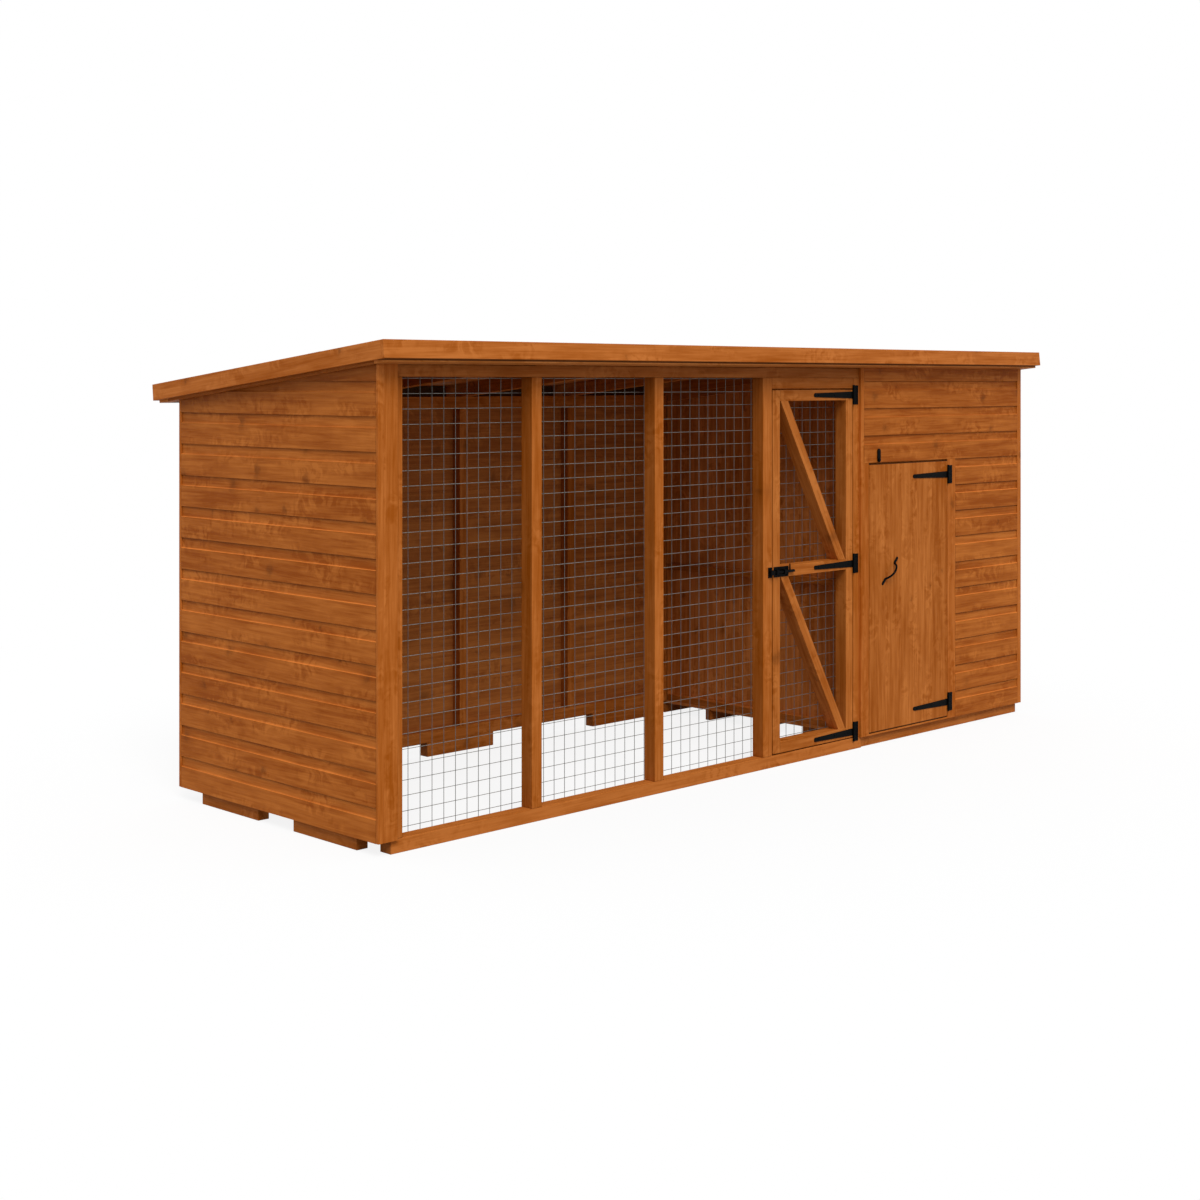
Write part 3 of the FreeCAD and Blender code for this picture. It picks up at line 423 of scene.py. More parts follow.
# %% Grain and weather side on the copies
LEFT, RIGHT, FRONT, BACK = (0, -1), (0, 1), (1, -1), (1, 1)
WEATHER_SIDE = {"left_wall_boards": LEFT, "right_wall_boards": RIGHT, "run_back_boards": BACK,
                "kennel_back_boards": BACK, "kennel_front_boards_top": FRONT,
                "kennel_front_boards_side": FRONT}
BOARD_THICKNESS = 0.014
LOOKS_LEFT = -0.9


def eased_timber(node, finish, ease):
    """An eased copy with grain coordinates; to_left is 1 on faces whose normal points left.

    On cladding, outside falls with depth from 1 on the weather face to 0 a board's thickness within.
    """
    piece = eased_copy(node, finish, ease)
    mesh = piece.data
    points = read_all(mesh.vertices, "co", 3)
    board = read_all(mesh.attributes["board"].data, "value", 1, np.int32)[:, 0]
    grain, tone, along = grain_of(points, board, node)
    store(mesh, "grain", grain, "FLOAT_VECTOR")
    store(mesh, "along", along, "FLOAT_VECTOR")
    store(mesh, "tone", tone)
    # to_left marks the faces that the framing and door finishes give painted shade
    to_left = read_all(mesh.polygons, "normal", 3)[:, 0] < LOOKS_LEFT
    store(mesh, "to_left", to_left.astype(np.float32), domain="FACE")
    if node in WEATHER_SIDE:
        axis, way = WEATHER_SIDE[node]
        out = way * points[:, axis]
        store(mesh, "outside", 1 - (out.max() - out) / BOARD_THICKNESS)
    return piece


# %% [markdown]
# ## Figure of the wood
#
# The real timber is softwood. From across a garden one sees broad soft streaks, a few small dark knots and
# slow changes of tone from board to board; closer up come the rings and the fine fibres. A picture of wood
# would repeat, so all of it is worked out from the grain coordinates: rings are circles round the log's
# middle, streaks are noise stretched along the grain, and knots are scattered spots that push the rings
# aside.

# %% Knots and rings
HALF = (0.5, 0.5, 0.5)
KNOT_RAGGED = (0.05, 0.03, 0.0)
KNOT_CELLS = 6.5
KNOT_SIZES = (0.06, 0.19)
KNOT_PUSH = 0.012
RING_STRETCH = (0.09, 1, 1)


def grain_noise(tree, place, along, across, detail, roughness=0.55):
    """Noise in grain coordinates; along and across are features per metre."""
    scaled = vectors(tree, "MULTIPLY", place, (along, across, across))
    return put(tree, "ShaderNodeTexNoise", Vector=scaled, Scale=1.0, Detail=detail, Roughness=roughness)


def stirred(tree, grain, noise, reach):
    """Grain coordinates pushed about by a noise's colour, at most half of reach each way."""
    centred = vectors(tree, "SUBTRACT", noise.outputs["Color"], HALF)
    return vectors(tree, "MULTIPLY_ADD", centred, reach, grain)


def knots_in(tree, grain, knot_share):
    """Heart and halo of scattered knots: both fall with the distance to a knot's middle over its size.

    The board is split into cells, and the colour drawn for a cell says if it holds a knot and of what size.
    """
    fray = grain_noise(tree, grain, along=40.0, across=40.0, detail=2.0)
    ragged = stirred(tree, grain, fray, KNOT_RAGGED)
    cells = put(tree, "ShaderNodeTexVoronoi", {"voronoi_dimensions": "2D"}, Vector=ragged, Scale=KNOT_CELLS)
    drawn = put(tree, "ShaderNodeSeparateColor", Color=cells.outputs["Color"])
    here = remap(tree, drawn.outputs[0], 1 - knot_share, 1.02 - knot_share, 0.0, 1.0)
    size = remap(tree, drawn.outputs[1], 0.0, 1.0, *KNOT_SIZES)
    off = sums(tree, "DIVIDE", cells.outputs["Distance"], size)
    heart = sums(tree, "MULTIPLY", remap(tree, off, 0.0, 1.1, 1.0, 0.0), here)
    halo = sums(tree, "MULTIPLY", remap(tree, off, 0.5, 2.6, 1.0, 0.0), here)
    return heart, halo


def growth_rings(tree, grain, halo):
    """A saw-tooth wave over the distance from the log's middle, pushed aside round knots."""
    aside = put(tree, "ShaderNodeCombineXYZ", X=0.0, Y=sums(tree, "MULTIPLY", halo, KNOT_PUSH), Z=0.0)
    slowed = vectors(tree, "MULTIPLY", vectors(tree, "ADD", grain, aside.outputs[0]), RING_STRETCH)
    settings = {"wave_type": "RINGS", "rings_direction": "X", "wave_profile": "SAW"}
    shape = {"Scale": 42.0, "Distortion": 5.0, "Detail": 2.0, "Detail_Scale": 0.5}
    return put(tree, "ShaderNodeTexWave", settings, Vector=slowed, **shape).outputs["Fac"]


# %% Streaks, fibres and feathers
SWIRL_REACH = (0.12, 0.12, 0.0)
STREAK_SHARE = 0.62
MIDDLE_TONE = 0.55


def board_figure(tree, grain, halo):
    """How deep the stain lies, with the streaks, fibres and rings that make it up.

    The depth is a share of the streaks, plus shares of rings, clouds, feathered patches, the board's tone,
    fibres and threads, of which the last four go both ways about their middle.
    """
    rings = growth_rings(tree, grain, halo)
    streak = grain_noise(tree, grain, along=2.8, across=48.0, detail=5.0, roughness=0.62).outputs["Fac"]
    fibre = grain_noise(tree, grain, along=9.0, across=600.0, detail=3.0).outputs["Fac"]
    thread = grain_noise(tree, grain, along=5.0, across=120.0, detail=2.0).outputs["Fac"]
    swirl = stirred(tree, grain, grain_noise(tree, grain, along=9.0, across=13.0, detail=2.0), SWIRL_REACH)
    feather = grain_noise(tree, swirl, along=40.0, across=26.0, detail=2.5).outputs["Fac"]
    patch = grain_noise(tree, grain, along=4.6, across=12.0, detail=2.0).outputs["Fac"]
    cloud = grain_noise(tree, swirl, along=4.0, across=12.0, detail=3.0).outputs["Fac"]
    ruffle = sums(tree, "SUBTRACT", remap(tree, feather, 0.36, 0.66, 0.0, 1.0), 0.5)
    ruffle = sums(tree, "MULTIPLY", ruffle, remap(tree, patch, 0.46, 0.66, 0.0, 1.0))
    depth = sums(tree, "MULTIPLY", remap(tree, streak, 0.28, 0.72, 0.0, 1.0), STREAK_SHARE)
    shares = [(rings, 0.12), (remap(tree, cloud, 0.3, 0.72, 0.0, 1.0), 0.36), (ruffle, 0.66),
              (sums(tree, "SUBTRACT", stored(tree, "tone"), MIDDLE_TONE), 0.36),
              (sums(tree, "SUBTRACT", fibre, 0.5), 0.5), (sums(tree, "SUBTRACT", thread, 0.5), 1.0)]
    for part, share in shares:
        depth = sums(tree, "MULTIPLY_ADD", part, share, depth)
    return depth, streak, fibre, rings


# %% [markdown]
# ## Stain, painted highlights and painted shade
#
# The timber wears a honey-brown stain, and stain never lies evenly. Sawn ends drink it and turn darker. On
# the outer face of the cladding each board's ledge gets a painted highlight where its lip catches the
# light, most at mid height, and each lap gets a painted shadow under it, least high on the walls. Painted
# shade lies close under the roof's sloping edge, and the inner side is painted paler, as light in the dim
# inside.
# The framing and the door timbers get painted shade on sides that face left and in front close under the
# eaves. The eaves rails are pale, with a painted shadow line under the front fascia and painted shade
# between the walls at the low back of the roof. Painted by hand, this would have to be done again after
# every change of size, so each is a blend between colours by a rule.

# %% Where the roof's edge runs
FASCIA_FOOT = float(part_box("front_fascia")[0][2])
REAR = 0.5


def gable_line(points):
    """Front end of the gable's sloping top, and its fall per metre towards the back."""
    behind = points[points[:, 1] > REAR]
    front = points[points[:, 2].argmax()]
    back = behind[behind[:, 2].argmax()]
    return front.tolist(), float((front[2] - back[2]) / (back[1] - front[1]))


GABLE_FRONT, GABLE_FALL = gable_line(wall_points.astype(float))
print("gable falls", round(GABLE_FALL, 4), "from", np.round(GABLE_FRONT, 3))

# %% Ends, ledges and laps
ROW_START, ROW_COVER = 0.044, 0.1123
LEDGE_DOWN = 0.037
LEDGE_IN_ROW = 1 - LEDGE_DOWN / ROW_COVER
LEDGE_REACH = (0.004, 0.016)
LAP_IN_ROW = (0.962, 0.995)
HIGHLIGHT_RISES, HIGHLIGHT_FALLS = (0.3, 0.95), (1.0, 1.35)
LAP_SHADOW_FADES = (0.95, 1.35)
END_DEPTH = (0.001, 0.0045)
DEEP, DEEPEST = 0.4, 0.09
# colour of the painted highlight where each ledge's lip catches the light
LEDGE_HIGHLIGHT = (0.82, 0.24, 0.04, 1)


def deepened(stain, share):
    """A stain's colour at a share of its brightness."""
    return (*[share * part for part in stain], 1)


def sawn_ends(tree, colour, dark, sawn_share):
    """Darker at the board's ends, where half its length less the place along it comes near nothing."""
    along = put(tree, "ShaderNodeSeparateXYZ", Vector=stored(tree, "along", "Vector"))
    to_end = sums(tree, "SUBTRACT", along.outputs["Y"], sums(tree, "ABSOLUTE", along.outputs["X"]))
    sawn = remap(tree, to_end, *END_DEPTH, sawn_share, 0.0)
    return blend_colour(tree, sawn, colour, deepened(dark, DEEPEST))


def ledge_highlights_and_lap_shadows(tree, colour, dark, streak, height, outside):
    """Painted highlight on each row's ledge and painted shadow under its lap, by height and place in the
    row.
    """
    row = sums(tree, "FRACT", sums(tree, "DIVIDE", sums(tree, "SUBTRACT", height, ROW_START), ROW_COVER))
    off_ledge = sums(tree, "ABSOLUTE", sums(tree, "SUBTRACT", row, LEDGE_IN_ROW))
    lower = remap(tree, height, *HIGHLIGHT_RISES, 0.6, 1.0)
    upper = remap(tree, height, *HIGHLIGHT_FALLS, 1.0, 0.2)
    highlight_share = sums(tree, "MULTIPLY", sums(tree, "MINIMUM", lower, upper), outside)
    patchy = sums(tree, "MULTIPLY", highlight_share, remap(tree, streak, 0.25, 0.6, 1.0, 0.6))
    # painted highlight along each ledge, strongest at mid height
    ledge_highlight = sums(tree, "MULTIPLY", remap(tree, off_ledge, *LEDGE_REACH, 1.0, 0.0), patchy)
    colour = blend_colour(tree, ledge_highlight, colour, LEDGE_HIGHLIGHT)
    # painted shadow under each lap, fainter high on the walls
    lap_shadow = sums(tree, "MULTIPLY", remap(tree, row, *LAP_IN_ROW, 0.0, 0.75), outside)
    lap_shadow = sums(tree, "MULTIPLY", lap_shadow, remap(tree, height, *LAP_SHADOW_FADES, 1.0, 0.3))
    return blend_colour(tree, lap_shadow, colour, deepened(dark, DEEP))


# %% Painted shade under the roof, on left faces and on the rails
WALL_PLANE = 1.82
ON_GABLE = (WALL_PLANE - 0.01, WALL_PLANE)
BETWEEN_WALLS = (WALL_PLANE - 0.02, WALL_PLANE)
ROOF_SHADE_DROP = (0.02, 0.15)
UNDER_EAVES = (1.36, 1.5)
NEAR_FRONT = (-0.45, -0.4)
LOW_BACK = (0.3, 0.4)
# where the painted shadow line under the front fascia lies
FASCIA_SHADOW = (FASCIA_FOOT - 0.0058, FASCIA_FOOT - 0.0038)
# colour of the painted shade in the dark roof space at the back
ROOF_SPACE_SHADE = (0.085, 0.046, 0.018, 1)


def gable_roof_shade(tree, colour, dark, place, outside):
    """Painted shade on the gable walls, by how far a point lies below the sloping line of the roof's edge.
    """
    fall = sums(tree, "MULTIPLY", sums(tree, "SUBTRACT", place.outputs["Y"], GABLE_FRONT[1]), GABLE_FALL)
    below = sums(tree, "SUBTRACT", sums(tree, "SUBTRACT", GABLE_FRONT[2], fall), place.outputs["Z"])
    off_middle = sums(tree, "ABSOLUTE", place.outputs["X"])
    on_gable = remap(tree, off_middle, *ON_GABLE, 0.0, 1.0)
    # painted shade close under the roof's edge, on the outer face only
    share = sums(tree, "MULTIPLY", remap(tree, below, *ROOF_SHADE_DROP, 0.3, 0.0), on_gable)
    return blend_colour(tree, sums(tree, "MULTIPLY", share, outside), colour, deepened(dark, DEEP))


def left_and_eaves_shade(tree, colour, dark, place, side_shade_share):
    """Painted shade on faces that look left and, near the front, close under the eaves."""
    high = remap(tree, place.outputs["Z"], *UNDER_EAVES, 0.0, 0.8)
    under_eaves = sums(tree, "MULTIPLY", high, remap(tree, place.outputs["Y"], *NEAR_FRONT, 1.0, 0.0))
    # painted shade on faces that look left and on the front close under the eaves
    thick = sums(tree, "MAXIMUM", stored(tree, "to_left"), under_eaves)
    return blend_colour(tree, sums(tree, "MULTIPLY", thick, side_shade_share), colour, deepened(dark, DEEP))


def rail_shade(tree, colour, dark, place):
    """Painted shade at the back between the walls, and a painted shadow line under the fascia at the front.
    """
    at_back = remap(tree, place.outputs["Y"], *LOW_BACK, 0.0, 1.0)
    off_middle = sums(tree, "ABSOLUTE", place.outputs["X"])
    between = remap(tree, off_middle, *BETWEEN_WALLS, 1.0, 0.0)
    colour = blend_colour(tree, sums(tree, "MULTIPLY", at_back, between), colour, ROOF_SPACE_SHADE)
    line = remap(tree, place.outputs["Z"], *FASCIA_SHADOW, 0.0, 0.85)
    line = sums(tree, "MULTIPLY", line, sums(tree, "SUBTRACT", 1.0, at_back))
    return blend_colour(tree, line, colour, deepened(dark, DEEPEST))


# %% Stained softwood
KNOT_HEART = (0.13, 0.034, 0.003, 1)
HEART_SHARE, HALO_SHARE, HALO_DEEP = 0.5, 0.2, 0.75
# paler colour painted on the inner faces, as light in the dim inside
INNER_LIGHT_COLOUR = (0.62, 0.30, 0.12, 1)
WEATHER_SKIN = (0.35, 0.5)
STAIN_GLOSS, STAIN_ROUGH = 0.07, (0.5, 0.66)
RING_RELIEF = 0.25


def stained_softwood(name, light, dark, knot_share=0.2, sawn_share=0.25, inner_light=0.0, side_shade_share=0.0,
                     shaded_rails=False):
    """Stain between a light and a dark shade by the depth of the figure, then painted highlights and shade.

    knot_share is the share of cells with a knot, sawn_share darkens sawn ends, inner_light paints inner
    faces paler as light, side_shade_share sets painted shade on left faces and under the eaves, and
    shaded_rails adds the eaves rails' painted shade.
    """
    material, tree, shader = new_finish(name)
    grain = stored(tree, "grain", "Vector")
    heart, halo = knots_in(tree, grain, knot_share)
    depth, streak, fibre, rings = board_figure(tree, grain, halo)
    colour = blend_colour(tree, depth, (*light, 1), (*dark, 1))
    colour = blend_colour(tree, sums(tree, "MULTIPLY", halo, HALO_SHARE), colour, deepened(dark, HALO_DEEP))
    colour = blend_colour(tree, sums(tree, "MULTIPLY", heart, HEART_SHARE), colour, KNOT_HEART)
    colour = sawn_ends(tree, colour, dark, sawn_share)
    outside = remap(tree, stored(tree, "outside"), *WEATHER_SKIN, 0.0, 1.0)
    place = put(tree, "ShaderNodeSeparateXYZ", Vector=place_on(tree))
    colour = ledge_highlights_and_lap_shadows(tree, colour, dark, streak, place.outputs["Z"], outside)
    colour = gable_roof_shade(tree, colour, dark, place, outside)
    # inner faces painted paler, as light in the dim inside
    within = sums(tree, "MULTIPLY", sums(tree, "SUBTRACT", 1.0, outside), inner_light)
    colour = blend_colour(tree, within, colour, INNER_LIGHT_COLOUR)
    if side_shade_share:
        colour = left_and_eaves_shade(tree, colour, dark, place, side_shade_share)
    if shaded_rails:
        colour = rail_shade(tree, colour, dark, place)
    tree.links.new(colour, shader.inputs["Base Color"])
    tree.links.new(remap(tree, fibre, 0.3, 0.7, *STAIN_ROUGH), shader.inputs["Roughness"])
    shader.inputs["Specular IOR Level"].default_value = STAIN_GLOSS
    height = sums(tree, "MULTIPLY_ADD", rings, RING_RELIEF, fibre)
    add_relief(tree, shader, strength=0.35, distance=0.0006, height=height)
    return material


# %% [markdown]
# ## Timber in its stains
#
# Every slot of timber has its own two shades, because timber from different packs takes stain differently,
# and the boarding's shades are also a little paler, as painted light in the dim inside. Three nodes have a
# finish of their own: the run's top rail is darker, as painted shade under the eaves, the eaves rails are
# pale with painted shade, and the kennel door's boards show sawn ends darkened nearly to black, partly by
# the stain and partly as painted shadow in the gap over the door.

# %% Timber in its stains
DOOR_LIGHT, DOOR_DARK = (0.53, 0.168, 0.032), (0.310, 0.072, 0.003)
timber_finish = {
    "cladding": stained_softwood("stained_cladding", (0.505, 0.152, 0.024), (0.292, 0.065, 0.004),
                                 inner_light=0.11),
    "framing": stained_softwood("stained_framing", (0.525, 0.161, 0.030), (0.335, 0.078, 0.003),
                                knot_share=0.14, side_shade_share=0.3),
    "trim": stained_softwood("stained_trim", (0.54, 0.165, 0.031), (0.345, 0.079, 0.0035),
                             knot_share=0.14, sawn_share=0.0),
    # the boarding's shades are a little paler, as painted light in the dim inside
    "boarding": stained_softwood("stained_boarding", (0.60, 0.205, 0.052), (0.36, 0.095, 0.010)),
    "door_timber": stained_softwood("stained_door", DOOR_LIGHT, DOOR_DARK,
                                    knot_share=0.16, side_shade_share=0.3),
}
own_finish = {
    # the top rail is darker all over, as painted shade under the eaves
    "run_top_rail": stained_softwood("stained_top_rail_painted_shade", (0.39, 0.119, 0.022), (0.25, 0.058, 0.0022),
                                     knot_share=0.14),
    # pale rails with painted shade at the back and a painted shadow under the fascia
    "eaves_rails": stained_softwood("stained_eaves_painted_shade", (0.66, 0.24, 0.06), (0.47, 0.14, 0.02),
                                    knot_share=0.14, sawn_share=0.0, shaded_rails=True),
    # sawn ends darkened nearly to black: partly the stain, partly painted shadow in the gap over the door
    "kennel_door_boards": stained_softwood("stained_door_boards_gap_shadow", DOOR_LIGHT, DOOR_DARK,
                                           knot_share=0.16, sawn_share=0.95),
}
EASE = {"cladding": 0.001, "framing": 0.0015, "trim": 0.0012, "boarding": 0.001, "door_timber": 0.0008}
timber = [eased_timber(node, own_finish.get(node, timber_finish[slot]), EASE[slot])
          for node, slot in slot_of.items() if slot in timber_finish]
print(len(timber), "timber nodes dressed")

# %% [markdown]
# ## Welded mesh
#
# The run is closed with 50 mm welded mesh: straight galvanised wires, the level ones welded across the
# upright ones. A Wireframe modifier on a grid would give square bars in one plane. A wire is a small circle
# carried along a straight line, so all wires of a panel are worked out at once, each with its own ends.

# %% Round wires
WIRE_RADIUS = 0.00103
WIRE_PITCH = 0.05
WIRE_AROUND = 8
PANEL_RIM = 0.003
LEVEL_BEHIND = 2.9 * WIRE_RADIUS
UPRIGHT_SHADE = 0.55
WIRE_CREASE = 60


def full_turn(count):
    """Angles in even steps once round."""
    return np.linspace(0, 2 * math.pi, count, endpoint=False)


def straight_wires(starts, ends, radius):
    """Corners and faces of round wires: a ring square to each line at both ends, joined and closed."""
    along = (ends - starts) / np.linalg.norm(ends - starts, axis=1, keepdims=True)
    aside = np.cross(along, [0.0, 1.0, 0.0])
    away = np.cross(along, aside)
    turn = full_turn(WIRE_AROUND)[:, None]
    ring = radius * (np.cos(turn) * aside[:, None] + np.sin(turn) * away[:, None])
    points = np.stack([starts[:, None] + ring, ends[:, None] + ring], axis=1).reshape(-1, 3)
    here = np.arange(WIRE_AROUND)
    ahead = (here + 1) % WIRE_AROUND
    side = np.stack([here, ahead, ahead + WIRE_AROUND, here + WIRE_AROUND], axis=1)
    base = (np.arange(len(starts)) * 2 * WIRE_AROUND)[:, None]
    sides = (base[:, None] + side).reshape(-1, 4)
    caps = np.concatenate([base + here[::-1], base + here + WIRE_AROUND])
    return points, sides.tolist() + caps.tolist()


def welded_mesh(node, first_wire, first_level, panel_dull, finish):
    """Upright wires against the timber and level wires behind them, at even steps inside the outline."""
    low, high = (np.array(corner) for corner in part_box(node))
    across = np.arange(low[0] + first_wire, high[0] - PANEL_RIM, WIRE_PITCH)
    levels = np.arange(low[2] + first_level, high[2] - PANEL_RIM, WIRE_PITCH)
    front = np.full_like(across, low[1] + WIRE_RADIUS)
    back = np.full_like(levels, low[1] + LEVEL_BEHIND)
    uprights = [np.column_stack([across, front, np.full_like(across, z)]) for z in (low[2], high[2])]
    level = [np.column_stack([np.full_like(levels, x), back, levels]) for x in (low[0], high[0])]
    starts, ends = (np.concatenate(pair) for pair in zip(uprights, level))
    points, faces = straight_wires(starts, ends, WIRE_RADIUS)
    # painted shade on the upright wires, added to the panel's own dullness
    upright_shade = UPRIGHT_SHADE + (1 - UPRIGHT_SHADE) * panel_dull
    corners = 2 * WIRE_AROUND * np.array([len(across), len(levels)])
    mesh = bpy.data.meshes.new(f"{node}_wires")
    mesh.from_pydata(points, [], faces)
    store(mesh, "shade_and_dull", np.repeat([upright_shade, panel_dull], corners))
    piece = as_piece(f"{node}_wires", mesh, finish, WIRE_CREASE)
    settle(piece, node)
    print(node, len(across), "upright and", len(levels), "level wires")


# %% [markdown]
# ## Galvanised wire
#
# Zinc dulls to a soft grey with paler and darker crystals. The wire is half metal, since old zinc is part
# oxide, and a fine noise varies both its grey and its shine. The upright wires are darkened as painted
# shade, since light from above falls more on the level ones, and the door's panel is made duller than the
# rest.

# %% Galvanised finish and panels
ZINC_DARK, ZINC_PALE = (0.175, 0.17, 0.152, 1), (0.288, 0.28, 0.25, 1)
ZINC_SHADE_AND_DULL = (0.05, 0.05, 0.05, 1)
ZINC_METAL = 0.5

galvanised, tree, shader = new_finish("galvanised_wire")
zinc = speckle(tree, scale=240.0, detail=3.0)
grey = blend_colour(tree, remap(tree, zinc, 0.35, 0.65, 0.0, 1.0), ZINC_DARK, ZINC_PALE)
# darker by the painted shade on the uprights and by a panel's dullness
grey = blend_colour(tree, stored(tree, "shade_and_dull"), grey, ZINC_SHADE_AND_DULL)
tree.links.new(grey, shader.inputs["Base Color"])
tree.links.new(remap(tree, zinc, 0.3, 0.7, 0.38, 0.55), shader.inputs["Roughness"])
shader.inputs["Metallic"].default_value = ZINC_METAL

PANELS = {"mesh_bay_left": {"first_wire": 0.031, "first_level": 0.032, "panel_dull": 0.0},
          "mesh_bay_middle": {"first_wire": 0.0235, "first_level": 0.032, "panel_dull": 0.0},
          "mesh_bay_right": {"first_wire": 0.016, "first_level": 0.032, "panel_dull": 0.1},
          "run_door_mesh": {"first_wire": 0.018, "first_level": 0.0185, "panel_dull": 0.4}}
for node, panel in PANELS.items():
    welded_mesh(node, finish=galvanised, **panel)

# %% [markdown]
# ## Black ironwork
#
# Hinges, bolt, handle and button are steel under satin black paint. Paint flows a little before it dries,
# so the surface has a faint orange-peel, and it is never quite even in shine. The paint covers the metal,
# so the finish is not metallic.

# %% Satin black finish
PAINT_DARK, PAINT_DUSTY = (0.0013, 0.0014, 0.0016, 1), (0.003, 0.003, 0.0029, 1)
PAINT_GLOSS = 0.035

black_iron, tree, shader = new_finish("satin_black_iron")
dust = speckle(tree, scale=30.0, detail=4.0)
paint = blend_colour(tree, remap(tree, dust, 0.45, 0.75, 0.0, 1.0), PAINT_DARK, PAINT_DUSTY)
tree.links.new(paint, shader.inputs["Base Color"])
tree.links.new(remap(tree, dust, 0.3, 0.7, 0.42, 0.58), shader.inputs["Roughness"])
shader.inputs["Specular IOR Level"].default_value = PAINT_GLOSS
add_relief(tree, shader, strength=0.15, distance=0.0003, height=speckle(tree, scale=420.0, detail=2.0))

IRON_EASE = {"hinge_plates": 0.0006, "run_hinge_straps": 0.0006, "kennel_hinge_straps": 0.0006,
             "hinge_pins": 0.0008, "bolt_plate": 0.0009, "bolt_keep": 0.0009, "turn_button": 0.0011,
             "turn_screw": 0.0009}
for node, ease in IRON_EASE.items():
    eased_copy(node, black_iron, ease)
print(len(IRON_EASE), "nodes of ironwork eased and painted")

# %% [markdown]
# ## Turned and bent iron
#
# The pull handle is one bar: flat where it is screwed down, bent up at each end of the grip and rounded
# over the bow. The bolt and its lever are turned on a lathe. A curve with a bevel could draw them, but its
# section can't change from flat to round. Both are a closed ring carried along a path, so one function
# joins the rings of all of them.

# %% Rings along a path
POLE = 1e-5
IRON_CREASE = 40


def joined_rings(stack, around, copies=1):
    """Faces for copies of a stack of rings: a quad between neighbours, and the end rings closed."""
    step = np.arange(stack - 1)[:, None] * around
    here = step + np.arange(around)
    ahead = step + (np.arange(around) + 1) % around
    quads = np.stack([here, ahead, ahead + around, here + around], axis=-1).reshape(-1, 4)
    ends = np.array([np.arange(around)[::-1], np.arange(around) + (stack - 1) * around])
    shift = (np.arange(copies) * stack * around)[:, None, None]
    return (shift + quads).reshape(-1, 4).tolist() + (shift + ends).reshape(-1, around).tolist()


def iron_piece(name, points, faces, node):
    """A painted iron piece from corners and faces, standing for this node."""
    mesh = bpy.data.meshes.new(name)
    mesh.from_pydata(points, [], faces)
    work = bmesh.new()
    work.from_mesh(mesh)
    bmesh.ops.recalc_face_normals(work, faces=work.faces)
    work.to_mesh(mesh)
    work.free()
    settle(as_piece(name, mesh, black_iron, IRON_CREASE), node)
    print(name, len(points), "corners")


# %% Pull handle
STEEP = math.radians(60)
BOW_RADIUS = 0.0483
TAB, BEND, BOW = 0.030, 0.006, BOW_RADIUS * 2 * STEEP
PATH_STEPS = (14, 7, 33, 7, 14)
HALF_WIDE, HALF_THICK = 0.0066, 0.0021
GRIP_RADIUS = 0.0043
GRIP_FADE = 0.004
HANDLE_AROUND = 16


def bar_path():
    """Heading of the bar, its places along and out from the door, and the share of grip in its section.

    The heading is level along each tab, swings up at a bend and turns evenly over the bow. Adding up its
    cosine and sine gives the places.
    """
    corners = np.cumsum([0, TAB, BEND, BOW, BEND, TAB])
    runs = [np.linspace(*run) for run in zip(corners, corners[1:], PATH_STEPS)]
    path = np.unique(np.concatenate(runs))
    heading = np.interp(path, corners, [0, 0, STEEP, -STEEP, 0, 0])
    middle = (heading[1:] + heading[:-1]) / 2
    along = np.concatenate([[0], np.cumsum(np.cos(middle) * np.diff(path))])
    out = HALF_THICK + np.concatenate([[0], np.cumsum(np.sin(middle) * np.diff(path))])
    grip_ends = [corners[1] - GRIP_FADE, corners[2], corners[3], corners[4] + GRIP_FADE]
    return heading, along - along[-1] / 2, out, np.interp(path, grip_ends, [0, 1, 1, 0])


def pull_handle():
    """An ellipse carried along the bar: thin on the tabs, round on the bow, almost nothing at the tips."""
    heading, along, out, grip = bar_path()
    past = np.clip((np.abs(along) - along[-1] + HALF_WIDE) / HALF_WIDE, 0, 1)
    tip = np.sqrt(np.clip(1 - past ** 2, 1e-4, 1))
    wide = (HALF_WIDE + (GRIP_RADIUS - HALF_WIDE) * grip) * tip
    thick = (HALF_THICK + (GRIP_RADIUS - HALF_THICK) * grip) * np.sqrt(tip)
    turn = full_turn(HANDLE_AROUND)
    aside = wide[:, None] * np.cos(turn)
    rise = thick[:, None] * np.sin(turn)
    forward = along[:, None] - np.sin(heading)[:, None] * rise
    outward = out[:, None] + np.cos(heading)[:, None] * rise
    low, high = (np.array(corner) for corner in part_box("pull_handle"))
    slant = math.sqrt(0.5)
    x = (low[0] + high[0]) / 2 + slant * (forward - aside)
    z = (low[2] + high[2]) / 2 + slant * (forward + aside)
    points = np.stack([x, high[1] - outward, z], axis=-1).reshape(-1, 3)
    iron_piece("pull_handle_bar", points, joined_rings(*aside.shape), "pull_handle")


pull_handle()

# %% Bolt and lever
ROUND_STEPS = 7
STEM_RADIUS, STEM_AROUND = 0.0055, 24
NOSE_LENGTH, NOSE_FLAT = 0.003, 0.45
TAIL_LENGTH, TAIL_FLAT = 0.002, 0.55
LEVER_RADIUS, LEVER_AROUND = 0.0023, 16
LEVER_ROOT, LEVER_ROOT_AT, LEVER_TIP = 0.0034, 0.001, 0.0024
LEVER_FROM_END = 0.027


def turned(start, axis, stations, radii, around):
    """A lathe profile: rings of the given radii at stations along an axis from start."""
    axis = np.array(axis, float)
    first = np.cross(axis, [0.0, 1.0, 0.0])
    second = np.cross(axis, first)
    turn = full_turn(around)[:, None]
    ring = np.cos(turn) * first + np.sin(turn) * second
    middle = np.array(start) + np.array(stations)[:, None] * axis
    points = middle[:, None] + np.maximum(radii, POLE)[:, None, None] * ring
    return points.reshape(-1, 3), joined_rings(len(stations), around)


